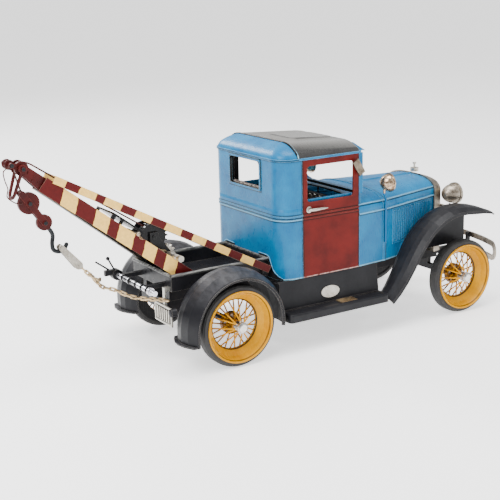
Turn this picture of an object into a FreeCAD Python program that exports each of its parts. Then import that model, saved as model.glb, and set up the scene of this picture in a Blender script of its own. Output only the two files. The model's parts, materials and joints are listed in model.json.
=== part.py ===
import FreeCAD, Part
import math
import os
import Sketcher
from FreeCAD import Vector, Placement, Rotation

# Small painted-tin tow truck of the early 1930s pickup pattern.
# X runs forward, Y to the truck's left, Z up; millimetres.
# The origin lies on the floor, midway along the whole length.
# Places below are measured from the rear axle's middle, on the floor.

doc = FreeCAD.newDocument("TowTruck")
sheet = doc.addObject("Spreadsheet::Sheet", "Sizes")

sizes = {
    # Stance
    "wheelbase": 218.7, "tyreRadius": 30.7, "tyreWidth": 11.0, "wheelStand": 13.9,
    "tyreShoulder": 3.4, "fitGap": 0.3, "runGap": 0.08, "sheetWall": 1.0, "cutOver": 2.0,
    # Wire wheels
    "rimRadius": 27.0, "rimInnerRadius": 18.4, "rimLip": 1.3, "rimWall": 1.1,
    "barrelDeep": 9.0, "barrelStepShare": 0.55, "hubRadius": 3.6, "hubCapRadius": 4.2,
    "hubCapHeight": 3.2, "hubCapOut": 4.5, "hubCapTopShare": 0.62, "spokeRadius": 0.55,
    "spokeCount": 14, "spokeLeanAngle": 17.0, "boreRadius": 1.6, "drumRadius": 8.4,
    "drumWidth": 4.5,
    # Frame and axles
    "frameInset": 10.0, "frameWall": 5.0, "frameBottom": 38.0, "frameDepth": 8.0,
    "frameRear": 37.0, "noseOut": 13.0, "crossWidth": 6.0, "axleRadius": 3.0,
    "diffRadius": 8.5, "axleBeamDepth": 4.5, "axleBeamWidth": 4.0, "springWidth": 4.0,
    # Cab
    "cabRearX": 46.0, "cabHalf": 49.6, "cabCorner": 13.0, "cabBottom": 53.0,
    "cabTop": 143.5, "quarterLong": 19.5, "doorLong": 53.5, "cabWall": 1.6,
    "doorGap": 0.4, "beltZ": 98.4, "beltHeight": 1.1, "beltOut": 0.6, "beltPitch": 2.6,
    "rearGlassHalf": 21.2, "rearGlassBottom": 119.8, "rearGlassTop": 141.0,
    "glassCorner": 3.0, "rearFrameWidth": 1.6, "sideGlassBottom": 111.0,
    "sideGlassTop": 138.6, "sideGlassRear": 4.5, "sideGlassFront": 5.5,
    "sideGlassCorner": 2.5, "handleRear": 3.2, "handleZ": 105.5, "handleLong": 18.0,
    "handleRadius": 1.2, "handleOut": 3.0, "handleRose": 2.4,
    "floorThick": 1.5,
    # Roof and visor
    "dripOut": 0.9, "dripTall": 1.6, "roofHeight": 14.0, "roofFrontOver": 3.0,
    "roofTopInset": 33.0, "roofFall": 5.0, "panelSetback": 16.0, "panelRim": 2.4,
    "roofFrontCorner": 5.0, "roofLeanShare": 0.12,
    "visorLength": 11.8, "visorDrop": 7.4, "visorRise": 6.8, "visorThick": 1.2, "pillarWidth": 4.6,
    "screenBottom": 111.0, "wingTall": 12.5, "wingWide": 6.0, "wingThick": 1.2,
    "wingTiltAngle": 32.0, "wingZ": 133.0, "wingArm": 0.8,
    # Cowl, hood and radiator
    "cowlLong": 29.0, "cowlInset": 2.8, "hoodSetback": 5.7, "hoodTaper": 16.8,
    "hoodTop": 109.5, "archShare": 0.72, "hoodShoulder": 96.5, "hoodBottom": 53.0,
    "hoodWall": 1.3, "bandWide": 3.0, "bandOut": 0.5, "beadRadius": 0.75,
    "beadUpperZ": 102.4, "beadLowerZ": 95.2, "louvreCount": 19, "louvreRadius": 0.75,
    "louvreBottom": 66.5, "louvreTop": 92.0, "panelRear": 9.0, "panelFront": 5.0,
    "panelBorder": 1.8, "borderRadius": 0.45,
    "shellDepth": 9.0, "shellWall": 3.2, "shellBottom": 46.0, "shellOver": 1.4,
    "coreDepth": 5.0, "finCount": 17, "finRadius": 0.55, "capRadius": 3.6,
    "capHeight": 3.0, "knobRadius": 1.7, "knobHeight": 4.5, "knobNeckShare": 0.5,
    # Fenders and boards
    "fenderRadius": 42.0, "fenderTuck": 16.6, "fenderReach": 16.4, "fenderInnerDrop": 6.5,
    "fenderDrop": 4.5, "fenderLip": 2.6, "fenderBead": 0.9, "flapLong": 8.4,
    "flapLip": 3.0, "tipTaper": 28.0, "tipRound": 6.0,
    "fenderFrontAngle": 8.0, "crestBack": 6.7, "frontCrestZ": 91.0, "tipOut": 36.0,
    "frontTipZ": 79.5, "footBack": 81.7, "frontFootZ": 27.5, "frontInnerOut": 13.0,
    "skirtBack": 50.0, "skirtOut": 19.0, "skirtBottom": 55.0, "shoulderBack": 42.7,
    "frontShoulderZ": 75.0, "stationCount": 16,
    "boardTop": 31.5, "boardLip": 6.5, "boardDeck": 2.6, "boardRearX": 42.3,
    "boardCorner": 3.0, "boardRim": 3.2, "boardSink": 0.7, "boardRound": 1.6,
    "apronIn": 1.6, "apronOut": 2.4, "plateHalfLong": 8.5, "plateHalfTall": 4.6,
    "plateThick": 0.7, "plateZ": 38.5, "stepLong": 15.0, "stepWide": 9.0,
    "stepThick": 0.7, "stepAhead": 11.0, "stepBarCount": 7,
    # Bed
    "bedRearX": 38.0, "bedInset": 18.6, "bedTop": 68.5, "bedDepth": 12.5, "bedWall": 1.2,
    "railRadius": 1.3, "lugLong": 4.0, "sillWidth": 6.0,
    # Boom
    "headX": 120.4, "headZ": 142.2, "headHalf": 6.1, "legFootX": 12.5, "legFootIn": 3.5,
    "legDepth": 11.0, "legThick": 1.4, "legFlange": 3.4, "braceFootX": 43.0,
    "braceStand": 6.0, "braceFootZ": 61.0, "braceDepth": 5.5, "braceThick": 1.6,
    "braceHeadX": 113.0, "braceHeadZ": 145.0, "braceHeadOut": 3.2,
    "cheekOuterY": 4.6, "cheekPlate": 1.3, "cheekRear": 13.6, "cheekRise": 12.2,
    "cheekRound": 5.0, "cheekEnd": 4.8, "cheekWaist": 3.4, "headPin": 1.3,
    "rollerRadius": 1.9, "rollerRear": 21.3, "rollerRise": 15.4, "rollerHalf": 8.0,
    "tieNear": 78.4, "tieFar": 57.6, "tieThick": 1.4, "tieRise": 3.2,
    "tieFoot": 2.2, "tieHole": 1.7,
    "tieHoleCount": 4, "tieRodAt": 61.0, "tieRodOut": 20.5, "tieRodIn": 2.0,
    "tieRodRadius": 0.9, "tieRodKnob": 1.7,
    # Winch
    "winchX": 40.6, "winchZ": 94.0, "drumCoreRadius": 4.0, "drumHalf": 8.0,
    "flangeRadius": 8.6, "flangeThick": 1.2, "shaftRadius": 1.5, "cheekThick": 1.5,
    "cheekWidth": 7.0, "cheekFoot": 12.0, "gearPitch": 11.17, "pinionPitch": 6.38,
    "gearTeeth": 21, "pinionTeeth": 12, "toothRise": 0.7, "toothSink": 1.0,
    "toothTipShare": 0.22, "toothRootShare": 0.5, "gearThick": 2.4, "meshAngle": 52.9,
    "crankOutY": 33.0, "crankKnob": 2.3, "crankKnobLong": 4.0, "crankInnerY": 13.0,
    # Hook block and hook
    "blockX": 129.4, "blockZ": 129.2, "sheaveRadius": 7.7, "sheaveThick": 3.0,
    "lowerX": 119.3, "lowerZ": 114.2, "lowerRadius": 5.6, "strapThick": 1.1,
    "strapHalf": 2.3, "strapOver": 8.6, "pinRadius": 1.2, "hookWire": 1.5,
    "cableRadius": 0.6, "bailLean": 7.3, "bailDrop": 20.2, "bailHalf": 6.4,
    "bailFoot": 3.9, "bailWire": 1.15, "bailEye": 2.3,
    "hookTall": 18.2, "hookReach": 12.2, "linkRun": 12.0, "linkFall": 14.7,
    "linkPin": 0.4, "linkWide": 3.0, "linkThick": 0.8, "linkEar": 2.1, "chainPitch": 4.1,
    "chainWide": 3.0, "chainWire": 1.0, "chainRun": 50.0, "chainAcross": 45.0,
    "chainFall": 27.0,
    # Tow bar at the tail
    "barX": 55.0, "barZ": 59.5, "barIn": 11.6, "barRadius": 2.0, "barStub": 6.0,
    "collarRadius": 2.9, "collarWide": 2.2, "barArm": 3.2, "clampY": 23.5,
    "clampLong": 6.0, "clampRadius": 4.2, "clampDeep": 9.5, "leverLong": 19.5,
    "leverAngle": 36.9, "knobLong": 15.3, "knobAngle": 63.3, "leverRadius": 0.7,
    "leverKnob": 1.5,
    # Lamps, bumper, plates
    "lampAhead": 8.0, "lampOut": 3.0, "lampZ": 94.7, "lampRadius": 9.0,
    "lampLength": 15.0, "lampRim": 2.2, "lensBulge": 2.0, "lampBarDrop": 11.7,
    "lampBarRadius": 1.3, "cowlLampX": 141.0, "cowlLampOut": 3.4, "cowlLampZ": 117.6,
    "cowlLampRadius": 7.4, "cowlLampLength": 9.0, "stemRadius": 0.9,
    "bumperOut": 49.3, "bumperReach": 14.4, "bumperBow": 14.0, "bumperZ": 45.5,
    "bumperBar": 4.4, "bumperApart": 12.2, "bumperThick": 1.6, "ironWidth": 3.0,
    "ironDepth": 5.0,
    "tagY": 27.0, "tagZ": 39.5, "tagWide": 26.0, "tagTall": 14.0, "tagThick": 1.2,
    "tailLampRadius": 3.0, "tailLampLong": 4.2, "tailLampY": 47.0, "tailLampZ": 46.0,
    # Inside the cab
    "seatFront": 84.0, "seatZ": 78.0, "seatIn": 9.6, "seatRound": 2.5,
    "backThick": 7.0, "backTop": 106.0, "wheelRingRadius": 14.0, "wheelRingWire": 1.2,
    "steerX": 98.0, "steerZ": 101.0, "columnRadius": 1.3, "steerRakeAngle": 40.0,
    "steerY": 20.0,
}
for row, (alias, number) in enumerate(sizes.items(), start=1):
    sheet.set("A%d" % row, alias)
    sheet.set("B%d" % row, str(number))
    sheet.setAlias("B%d" % row, alias)
doc.recompute()


class Size:
    # A number read from the sheet together with the expression that gives it.
    def __init__(self, text, value):
        self.text = text
        self.value = value

    def join(self, sign, other, value, swap=False):
        pair = (lift(other).text, self.text) if swap else (self.text, lift(other).text)
        return Size("(%s %s %s)" % (pair[0], sign, pair[1]), value)

    def __add__(self, other):
        return self.join("+", other, self.value + lift(other).value)

    def __radd__(self, other):
        return self.join("+", other, self.value + lift(other).value, True)

    def __sub__(self, other):
        return self.join("-", other, self.value - lift(other).value)

    def __rsub__(self, other):
        return self.join("-", other, lift(other).value - self.value, True)

    def __mul__(self, other):
        return self.join("*", other, self.value * lift(other).value)

    def __rmul__(self, other):
        return self.join("*", other, self.value * lift(other).value, True)

    def __truediv__(self, other):
        return self.join("/", other, self.value / lift(other).value)

    def __neg__(self):
        return Size("(-1 * %s)" % self.text, -self.value)

    def __float__(self):
        return float(self.value)

    def __int__(self):
        return int(round(self.value))


def lift(thing):
    return thing if isinstance(thing, Size) else Size(repr(float(thing)), float(thing))


class Names:
    def __getattr__(self, alias):
        return Size("Sizes.%s" % alias, float(sheet.get(alias)))


s = Names()
nodes = {}

# Places that follow from the driving sizes.
tyreOuterY = s.cabHalf + s.wheelStand
fenderOuterY = s.cabHalf + s.fenderReach
fenderInnerY = s.cabHalf - s.fenderTuck
bedHalf = s.cabHalf - s.bedInset
frameHalf = bedHalf - s.frameInset
apronInnerY = s.cabHalf - s.apronIn
apronOuterY = s.cabHalf + s.apronOut
cowlHalf = s.cabHalf - s.cowlInset
hoodFrontHalf = cowlHalf - s.hoodTaper
frontInnerY = hoodFrontHalf + s.frontInnerOut
doorRearX = s.cabRearX + s.quarterLong
doorFrontX = doorRearX + s.doorLong
seamX = doorFrontX + s.cowlLong
hoodFrontX = s.wheelbase - s.hoodSetback
frameNose = hoodFrontX + s.noseOut
frontCrestX = s.wheelbase - s.crestBack
frontShoulderX = s.wheelbase - s.shoulderBack
frontFootX = s.wheelbase - s.footBack
frontTipX = s.wheelbase + s.tipOut
bumperX = s.wheelbase + s.bumperOut
barHalf = s.cabHalf - s.barIn
floorZ = s.cabBottom
bedFloorZ = s.bedTop - s.bedDepth + s.bedWall
headPinX = s.headX + s.cheekRear
headPinZ = s.headZ + s.cheekRise
rollerX = s.headX + s.rollerRear
rollerZ = s.headZ + s.rollerRise
bailFootX = headPinX + s.bailLean
meshAngle = math.radians(float(s.meshAngle))
crankX = s.winchX - (s.gearPitch + s.pinionPitch) * math.cos(meshAngle)
crankZ = s.winchZ - (s.gearPitch + s.pinionPitch) * math.sin(meshAngle)
winchInnerY = s.drumHalf + s.gearThick + s.fitGap * 3
lampX = hoodFrontX + s.lampAhead
lampY = hoodFrontHalf + s.lampOut
hoistEndX = rollerX + s.rollerRadius
originX = (bumperX - hoistEndX) / 2


def bind(thing, prop, value):
    # Ties one property of an object to the sheet.
    if isinstance(value, Size):
        thing.setExpression(prop, value.text)
    else:
        setattr(thing, prop, value)


def point(x, y, z):
    return Vector(float(x), float(y), float(z))


def spot(x, y, z):
    # A point given from the rear axle, moved to the model's own origin.
    return point(x - originX, y, z)


def keep(label, thing, where=None, turn=None):
    thing.Label = label
    base = where if where is not None else spot(0, 0, 0)
    thing.Placement = Placement(base, turn if turn is not None else Rotation())
    nodes[label] = thing
    return thing


def newBody(label):
    body = doc.addObject("PartDesign::Body", "Body")
    body.Label = label
    return body


def plane(body, role):
    for feature in body.Origin.OriginFeatures:
        if feature.Role == role:
            return feature


def sketch(body, role, height=None):
    sk = body.newObject("Sketcher::SketchObject", "Sketch")
    sk.AttachmentSupport = [(plane(body, role), "")]
    sk.MapMode = "FlatFace"
    if height is not None:
        sk.setExpression(".AttachmentOffset.Base.z", lift(height).text)
    return sk


def fix(sk, kind, index, vertex, value):
    # Holds one coordinate of a vertex from the sketch's origin, bound to the sheet.
    value = lift(value)
    number = sk.addConstraint(Sketcher.Constraint(kind, -1, 1, index, vertex, value.value))
    if not value.text[0].isdigit() and value.text[0] != "-":
        sk.setExpression("Constraints[%d]" % number, value.text)


def fixPoint(sk, index, vertex, a, b):
    fix(sk, "DistanceX", index, vertex, a)
    fix(sk, "DistanceY", index, vertex, b)


def polygon(sk, corners):
    first = sk.GeometryCount
    count = len(corners)
    flat = [Vector(float(a), float(b), 0) for a, b in corners]
    for i in range(count):
        sk.addGeometry(Part.LineSegment(flat[i], flat[(i + 1) % count]), False)
    for i in range(count):
        following = first + (i + 1) % count
        sk.addConstraint(Sketcher.Constraint("Coincident", first + i, 2, following, 1))
    for i in range(count):
        fixPoint(sk, first + i, 1, corners[i][0], corners[i][1])


def circle(sk, a, b, radius):
    index = sk.GeometryCount
    centre = Vector(float(a), float(b), 0)
    sk.addGeometry(Part.Circle(centre, Vector(0, 0, 1), float(radius)), False)
    number = sk.addConstraint(Sketcher.Constraint("Radius", index, float(radius)))
    sk.setExpression("Constraints[%d]" % number, lift(radius).text)
    fixPoint(sk, index, 3, a, b)


def rect(sk, a0, a1, b0, b1):
    polygon(sk, [(a0, b0), (a1, b0), (a1, b1), (a0, b1)])


def roundedRect(sk, a0, a1, b0, b1, radius, rounded=(0, 1, 2, 3)):
    # A rectangle whose listed corners, counted from the low one, are quarter circles.
    r = lift(radius)
    corners = [(a0, b0), (a1, b0), (a1, b1), (a0, b1)]
    inward = [(1, 1), (-1, 1), (-1, -1), (1, -1)]
    arrive = []
    leave = []
    for i in range(4):
        a, b = corners[i]
        alongA, alongB = (a + r * inward[i][0], b), (a, b + r * inward[i][1])
        if i not in rounded:
            alongA = alongB = (a, b)
        arrive.append(alongB if i % 2 == 0 else alongA)
        leave.append(alongA if i % 2 == 0 else alongB)
    first = sk.GeometryCount
    for i in range(4):
        p, q = leave[i], arrive[(i + 1) % 4]
        sk.addGeometry(Part.LineSegment(Vector(float(p[0]), float(p[1]), 0),
                                        Vector(float(q[0]), float(q[1]), 0)), False)
    for i in range(4):
        fixPoint(sk, first + i, 1, leave[i][0], leave[i][1])
        following = (i + 1) % 4
        if following in rounded:
            fixPoint(sk, first + i, 2, arrive[following][0], arrive[following][1])
        else:
            sk.addConstraint(Sketcher.Constraint("Coincident", first + i, 2,
                                                 first + following, 1))
    for i in rounded:
        centre = Vector(float(corners[i][0] + r * inward[i][0]),
                        float(corners[i][1] + r * inward[i][1]), 0)
        start = math.pi + i * math.pi / 2
        index = sk.GeometryCount
        arc = Part.ArcOfCircle(Part.Circle(centre, Vector(0, 0, 1), float(r)), start,
                               start + math.pi / 2)
        sk.addGeometry(arc, False)
        sk.addConstraint(Sketcher.Constraint("Coincident", index, 1, first + (i - 1) % 4, 2))
        sk.addConstraint(Sketcher.Constraint("Coincident", index, 2, first + i, 1))
        number = sk.addConstraint(Sketcher.Constraint("Radius", index, float(r)))
        sk.setExpression("Constraints[%d]" % number, r.text)


def pad(body, sk, length, midplane=False, reverse=False):
    feature = body.newObject("PartDesign::Pad", "Pad")
    feature.Profile = sk
    bind(feature, "Length", length)
    feature.Midplane = midplane
    feature.Reversed = reverse
    return feature


def pocket(body, sk, length, midplane=False, reverse=False):
    feature = body.newObject("PartDesign::Pocket", "Pocket")
    feature.Profile = sk
    bind(feature, "Length", length)
    feature.Midplane = midplane
    feature.Reversed = reverse
    return feature


def revolve(body, sk, role, angle=360.0):
    feature = body.newObject("PartDesign::Revolution", "Revolution")
    feature.Profile = sk
    feature.ReferenceAxis = (plane(body, role), [""])
    bind(feature, "Angle", angle)
    return feature


def soften(body, radius, chosen):
    # Rounds the edges that the test picks.
    doc.recompute()
    base = body.Tip
    names = ["Edge%d" % (i + 1) for i, edge in enumerate(base.Shape.Edges) if chosen(edge)]
    feature = body.newObject("PartDesign::Fillet", "Fillet")
    feature.Base = (base, names)
    bind(feature, "Radius", radius)
    return feature


def cylinder(radius, height, where, turn=None):
    solid = doc.addObject("Part::Cylinder", "Cylinder")
    bind(solid, "Radius", radius)
    bind(solid, "Height", height)
    solid.Placement = Placement(where, turn if turn is not None else Rotation())
    return solid


def rodBetween(radius, p, q):
    # A round bar from one point to another.
    turn = Rotation(Vector(0, 0, 1), q - p)
    solid = cylinder(radius, 1, p, turn)
    solid.Height = (q - p).Length
    return solid


def ball(radius, where):
    solid = doc.addObject("Part::Sphere", "Ball")
    bind(solid, "Radius", radius)
    solid.Placement = Placement(where, Rotation())
    return solid


def block(long, wide, tall, where, turn=None):
    solid = doc.addObject("Part::Box", "Box")
    bind(solid, "Length", long)
    bind(solid, "Width", wide)
    bind(solid, "Height", tall)
    solid.Placement = Placement(where, turn if turn is not None else Rotation())
    return solid


def dome(long, radius, where, turn, rear=True):
    # Half an ellipsoid about its own Z, with its flat side at the given point.
    solid = doc.addObject("Part::Ellipsoid", "Dome")
    bind(solid, "Radius1", long)
    bind(solid, "Radius2", radius)
    bind(solid, "Radius3", radius)
    solid.Angle1 = -90 if rear else 0
    solid.Angle2 = 0 if rear else 90
    solid.Placement = Placement(where, turn)
    return solid


def fuse(parts):
    whole = doc.addObject("Part::MultiFuse", "Fuse")
    whole.Shapes = parts
    return whole


def group(parts):
    # Like pieces that don't touch, kept under one name.
    whole = doc.addObject("Part::Compound", "Group")
    whole.Links = parts
    return whole


def cut(base, tool):
    rest = doc.addObject("Part::Cut", "Cut")
    rest.Base = base
    rest.Tool = tool
    return rest


def shapeNode(label, shape):
    feature = doc.addObject("Part::Feature", "Piece")
    feature.Shape = shape
    return keep(label, feature)


def piece(shape):
    feature = doc.addObject("Part::Feature", "Piece")
    feature.Shape = shape
    return feature


bendShare = 0.45


def bentPath(corners):
    # Straight runs joined by tangent arcs, each as wide as its two runs allow.
    edges = []
    start = corners[0]
    for i in range(1, len(corners) - 1):
        before = corners[i] - corners[i - 1]
        after = corners[i + 1] - corners[i]
        reach = bendShare * min(before.Length, after.Length)
        turn = before.getAngle(after)
        before.normalize()
        after.normalize()
        radius = reach / math.tan(turn / 2)
        inward = (after - before).normalize()
        centre = corners[i] + inward * (radius / math.cos(turn / 2))
        arriving = corners[i] - before * reach
        leaving = corners[i] + after * reach
        edges.append(Part.LineSegment(start, arriving).toShape())
        edges.append(Part.Arc(arriving, centre - inward * radius, leaving).toShape())
        start = leaving
    edges.append(Part.LineSegment(start, corners[-1]).toShape())
    return Part.Wire(edges)


def bentRod(corners, radius):
    path = bentPath(corners)
    ring = Part.Circle(corners[0], corners[1] - corners[0], float(radius)).toShape()
    return path.makePipeShell([Part.Wire([ring])], True, False)


alongY = Rotation(Vector(1, 0, 0), -90)
alongX = Rotation(Vector(0, 1, 0), 90)
sides = {"left": 1, "right": -1}
turnAbout = Rotation(Vector(0, 0, 1), 180)

# Frame: a ladder of two rails and four cross members.
body = newBody("chassis_frame")
sk = sketch(body, "XY_Plane", s.frameBottom)
rect(sk, -s.frameRear, frameNose, -frameHalf, frameHalf)
bay = (frameNose + s.frameRear - s.crossWidth) / 3
inner = frameHalf - s.frameWall
for step in range(3):
    start = step * bay - s.frameRear + s.crossWidth
    rect(sk, start, start + bay - s.crossWidth, -inner, inner)
pad(body, sk, s.frameDepth)
keep("chassis_frame", body)

# Axles: a round rear one with its ball, a flat front beam, each under a spring.
axleHalf = tyreOuterY - s.tyreWidth - s.drumWidth
springHalf = frameHalf - s.frameWall / 4
springRise = s.frameBottom - s.tyreRadius


def stubs():
    return cylinder(s.boreRadius - s.runGap, 2 * tyreOuterY,
                    point(0, -tyreOuterY, s.tyreRadius), alongY)


def springBlock():
    return block(s.springWidth, 2 * springHalf, springRise,
                 point(-s.springWidth / 2, -springHalf, s.tyreRadius))


tube = cylinder(s.axleRadius, 2 * axleHalf, point(0, -axleHalf, s.tyreRadius), alongY)
keep("rear_axle", fuse([tube, stubs(), ball(s.diffRadius, point(0, 0, s.tyreRadius)),
                        springBlock()]))
beam = block(s.axleBeamWidth, 2 * axleHalf, s.axleBeamDepth,
             point(-s.axleBeamWidth / 2, -axleHalf, s.tyreRadius - s.axleBeamDepth / 2))
keep("front_axle", fuse([beam, stubs(), springBlock()]), spot(s.wheelbase, 0, 0))

# Brake drums stand on the axle ends inside the wheels.
drums = []
drumWide = s.drumWidth - s.fitGap * 3
for x in (0, s.wheelbase):
    for way in sides.values():
        start = axleHalf if way > 0 else -axleHalf - drumWide
        drum = cylinder(s.drumRadius, drumWide, point(x, start, s.tyreRadius), alongY)
        core = cylinder(s.axleRadius, drumWide, point(x, start, s.tyreRadius), alongY)
        drums.append(cut(drum, core))
keep("brake_drums", group(drums))


def tyre(tag, where, turn):
    # A plain ring with rounded shoulders, turned about the axle.
    body = newBody("tyre_" + tag)
    sk = sketch(body, "YZ_Plane")
    w = s.tyreWidth / 2
    roundedRect(sk, -w, w, s.rimRadius, s.tyreRadius, s.tyreShoulder, (2, 3))
    revolve(body, sk, "Y_Axis")
    keep("tyre_" + tag, body, where, turn)


def wireWheel(tag, where, turn):
    # Deep rim, capped hub and two rows of crossed wire spokes.
    rim = newBody("rim")
    sk = sketch(rim, "YZ_Plane")
    w = s.tyreWidth / 2
    seat = s.rimRadius
    deep = w - s.barrelDeep
    step = s.rimInnerRadius + (seat - s.rimInnerRadius) * s.barrelStepShare
    polygon(sk, [(-w, seat), (-w, seat - s.rimWall), (deep - s.rimWall, seat - s.rimWall),
                 (deep - s.rimWall, s.rimInnerRadius), (deep, s.rimInnerRadius),
                 (deep + (w - deep) / 2, step), (w - s.rimLip, seat - s.rimLip - s.rimWall),
                 (w + s.rimLip / 2, seat - s.rimLip), (w + s.rimLip, seat - s.rimLip / 2),
                 (w + s.rimLip, seat)])
    revolve(rim, sk, "Y_Axis")
    sk = sketch(rim, "YZ_Plane")
    hubIn = -w
    capTop = w + s.hubCapOut
    capFoot = capTop - s.hubCapHeight
    polygon(sk, [(hubIn, s.boreRadius), (capFoot, s.boreRadius), (capFoot, 0), (capTop, 0),
                 (capTop, s.hubCapRadius * s.hubCapTopShare),
                 (capTop - s.hubCapHeight / 3, s.hubCapRadius), (capFoot, s.hubCapRadius),
                 (capFoot, s.hubRadius), (hubIn, s.hubRadius)])
    revolve(rim, sk, "Y_Axis")
    parts = [rim]
    count = int(s.spokeCount)
    hubEnds = (capFoot - s.spokeRadius * 2, hubIn + s.spokeRadius * 2)
    outer = float(s.rimInnerRadius + s.spokeRadius)
    innerR = float(s.hubRadius - s.spokeRadius)
    foot = float(deep - s.rimWall / 2)
    for row, hubY in enumerate(hubEnds):
        for i in range(count):
            around = 2 * math.pi / count * (i + row / 2)
            lean = math.radians(float(s.spokeLeanAngle)) * (1 if i % 2 else -1)
            p = Vector(innerR * math.cos(around + lean), float(hubY),
                       innerR * math.sin(around + lean))
            q = Vector(outer * math.cos(around), foot, outer * math.sin(around))
            parts.append(rodBetween(s.spokeRadius, p, q))
    keep("wire_wheel_" + tag, fuse(parts), where, turn)


for end, x in (("rear_", 0), ("front_", s.wheelbase)):
    for side, way in sides.items():
        where = spot(x, way * (tyreOuterY - s.tyreWidth / 2), s.tyreRadius)
        turn = Rotation() if way > 0 else turnAbout
        tyre(end + side, where, turn)
        wireWheel(end + side, where, turn)

# Cab: one bent sheet for the back and both rear corners, with its belt and drip beads.
cabOver = doorRearX + s.cutOver
rearCorners = (0, 3)


def cabPlan(body, height, out, tall):
    sk = sketch(body, "XY_Plane", height)
    roundedRect(sk, s.cabRearX - out, doorRearX, -s.cabHalf - out, s.cabHalf + out,
                s.cabCorner + out, rearCorners)
    pad(body, sk, tall)


body = newBody("cab_shell")
cabPlan(body, s.cabBottom, lift(0), s.cabTop - s.cabBottom)
for step in range(2):
    cabPlan(body, s.beltZ + step * s.beltPitch, s.beltOut, s.beltHeight)
sk = sketch(body, "YZ_Plane", s.cabRearX - s.rearFrameWidth / 2)
frameWide = s.rearFrameWidth
roundedRect(sk, -s.rearGlassHalf - frameWide, s.rearGlassHalf + frameWide,
            s.rearGlassBottom - frameWide, s.cabTop - frameWide / 4, s.glassCorner)
pad(body, sk, s.cabWall)
sk = sketch(body, "XY_Plane", s.cabTop)
roundedRect(sk, s.cabRearX + s.cabWall, cabOver, s.cabWall - s.cabHalf, s.cabHalf - s.cabWall,
            s.cabCorner - s.cabWall, rearCorners)
pocket(body, sk, s.cabTop - s.cabBottom)
sk = sketch(body, "YZ_Plane", s.cabRearX - s.cutOver)
roundedRect(sk, -s.rearGlassHalf, s.rearGlassHalf, s.rearGlassBottom, s.rearGlassTop,
            s.glassCorner)
pocket(body, sk, s.cabWall + 2 * s.cutOver, reverse=True)
keep("cab_shell", body)

# Doors: plates with window openings and belt beads, let in between post and cowl.
doors = []
for side, way in sides.items():
    body = newBody("door_" + side)
    sk = sketch(body, "XZ_Plane")
    rect(sk, doorRearX + s.doorGap, doorFrontX - s.doorGap, s.cabBottom, s.cabTop)
    roundedRect(sk, doorRearX + s.sideGlassRear, doorFrontX - s.sideGlassFront,
                s.sideGlassBottom, s.sideGlassTop, s.sideGlassCorner)
    pad(body, sk, s.cabWall, reverse=(way > 0))
    for step in range(2):
        sk = sketch(body, "XZ_Plane")
        low = s.beltZ + step * s.beltPitch
        rect(sk, doorRearX + s.doorGap, doorFrontX - s.doorGap, low, low + s.beltHeight)
        pad(body, sk, s.cabWall + s.beltOut, reverse=(way > 0))
    body.Placement = Placement(point(0, way * (s.cabHalf - s.cabWall), 0), Rotation())
    doors.append(body)
keep("doors", group(doors))

# Door handles: a turned, leaf-shaped grip on a thin stem and a round foot.
gripShares = ((0, 0.5), (0.12, 0.85), (0.4, 1), (0.8, 0.72), (1, 0.3))
handles = []
for way in sides.values():
    footX = doorRearX + s.handleRear
    y0 = s.cabHalf
    yGrip = s.cabHalf + s.handleOut
    rose = rodBetween(s.handleRose, point(footX + s.handleRose, way * y0, s.handleZ),
                      point(footX + s.handleRose, way * (y0 + s.handleRadius / 2), s.handleZ))
    stem = rodBetween(s.handleRadius / 2, point(footX + s.handleRose, way * y0, s.handleZ),
                      point(footX + s.handleRose, way * yGrip, s.handleZ))
    outline = [point(footX, way * yGrip, s.handleZ)]
    for along, thick in gripShares:
        outline.append(point(footX + s.handleLong * along, way * yGrip,
                             s.handleZ + s.handleRadius * thick))
    outline.append(point(footX + s.handleLong, way * yGrip, s.handleZ))
    grip = Part.Face(Part.makePolygon(outline + [outline[0]]))
    grip = piece(grip.revolve(outline[0], Vector(1, 0, 0), 360))
    handles.append(fuse([rose, stem, grip]))
keep("door_handles", group(handles))

# Floor pan under the cab, resting on the frame by two sills.
floorRear = s.cabRearX + s.cabWall + s.fitGap
floorLong = seamX - s.cabRearX - 2 * s.cabWall
floorHalf = s.cabHalf - s.cabCorner
frameTop = s.frameBottom + s.frameDepth
floorParts = [block(floorLong, 2 * floorHalf, s.floorThick,
                    point(floorRear, -floorHalf, floorZ))]
for way in sides.values():
    y = inner if way > 0 else -frameHalf
    floorParts.append(block(floorLong, s.frameWall, floorZ - frameTop,
                            point(floorRear, y, frameTop)))
keep("cab_floor", fuse(floorParts))


crownCount = 10


def archWire(x, halfWidth, bottom, shoulder, top):
    # Straight sides under a crown whose fullness is set by archShare.
    side, low, turn, high = float(halfWidth), float(bottom), float(shoulder), float(top)
    share = float(s.archShare)
    crown = []
    for i in range(crownCount + 1):
        angle = math.pi * i / crownCount
        across = math.copysign(abs(math.cos(angle)) ** share, -math.cos(angle))
        rise = math.sin(angle) ** share if 0 < i < crownCount else 0
        crown.append(point(x, side * across, turn + (high - turn) * rise))
    curve = Part.BSplineCurve()
    curve.interpolate(crown)
    foot = [point(x, -side, low), crown[0], crown[-1], point(x, side, low)]
    return Part.Wire([Part.LineSegment(foot[0], foot[1]).toShape(), curve.toShape(),
                      Part.LineSegment(foot[2], foot[3]).toShape(),
                      Part.LineSegment(foot[3], foot[0]).toShape()])


def archLoft(ends, bottom, inset=0):
    wires = [archWire(x, wide - inset, bottom, s.hoodShoulder, top - inset)
             for x, wide, top in ends]
    return Part.makeLoft(wires, True, True)


def archShell(ends, wall):
    # A bent sheet between two arches, open at both ends and below.
    (x0, wide0, top0), (x1, wide1, top1) = ends
    over = ((x0 - s.cutOver, wide0, top0), (x1 + s.cutOver, wide1, top1))
    return archLoft(ends, s.hoodBottom).cut(archLoft(over, s.hoodBottom - s.cutOver, wall))


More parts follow.
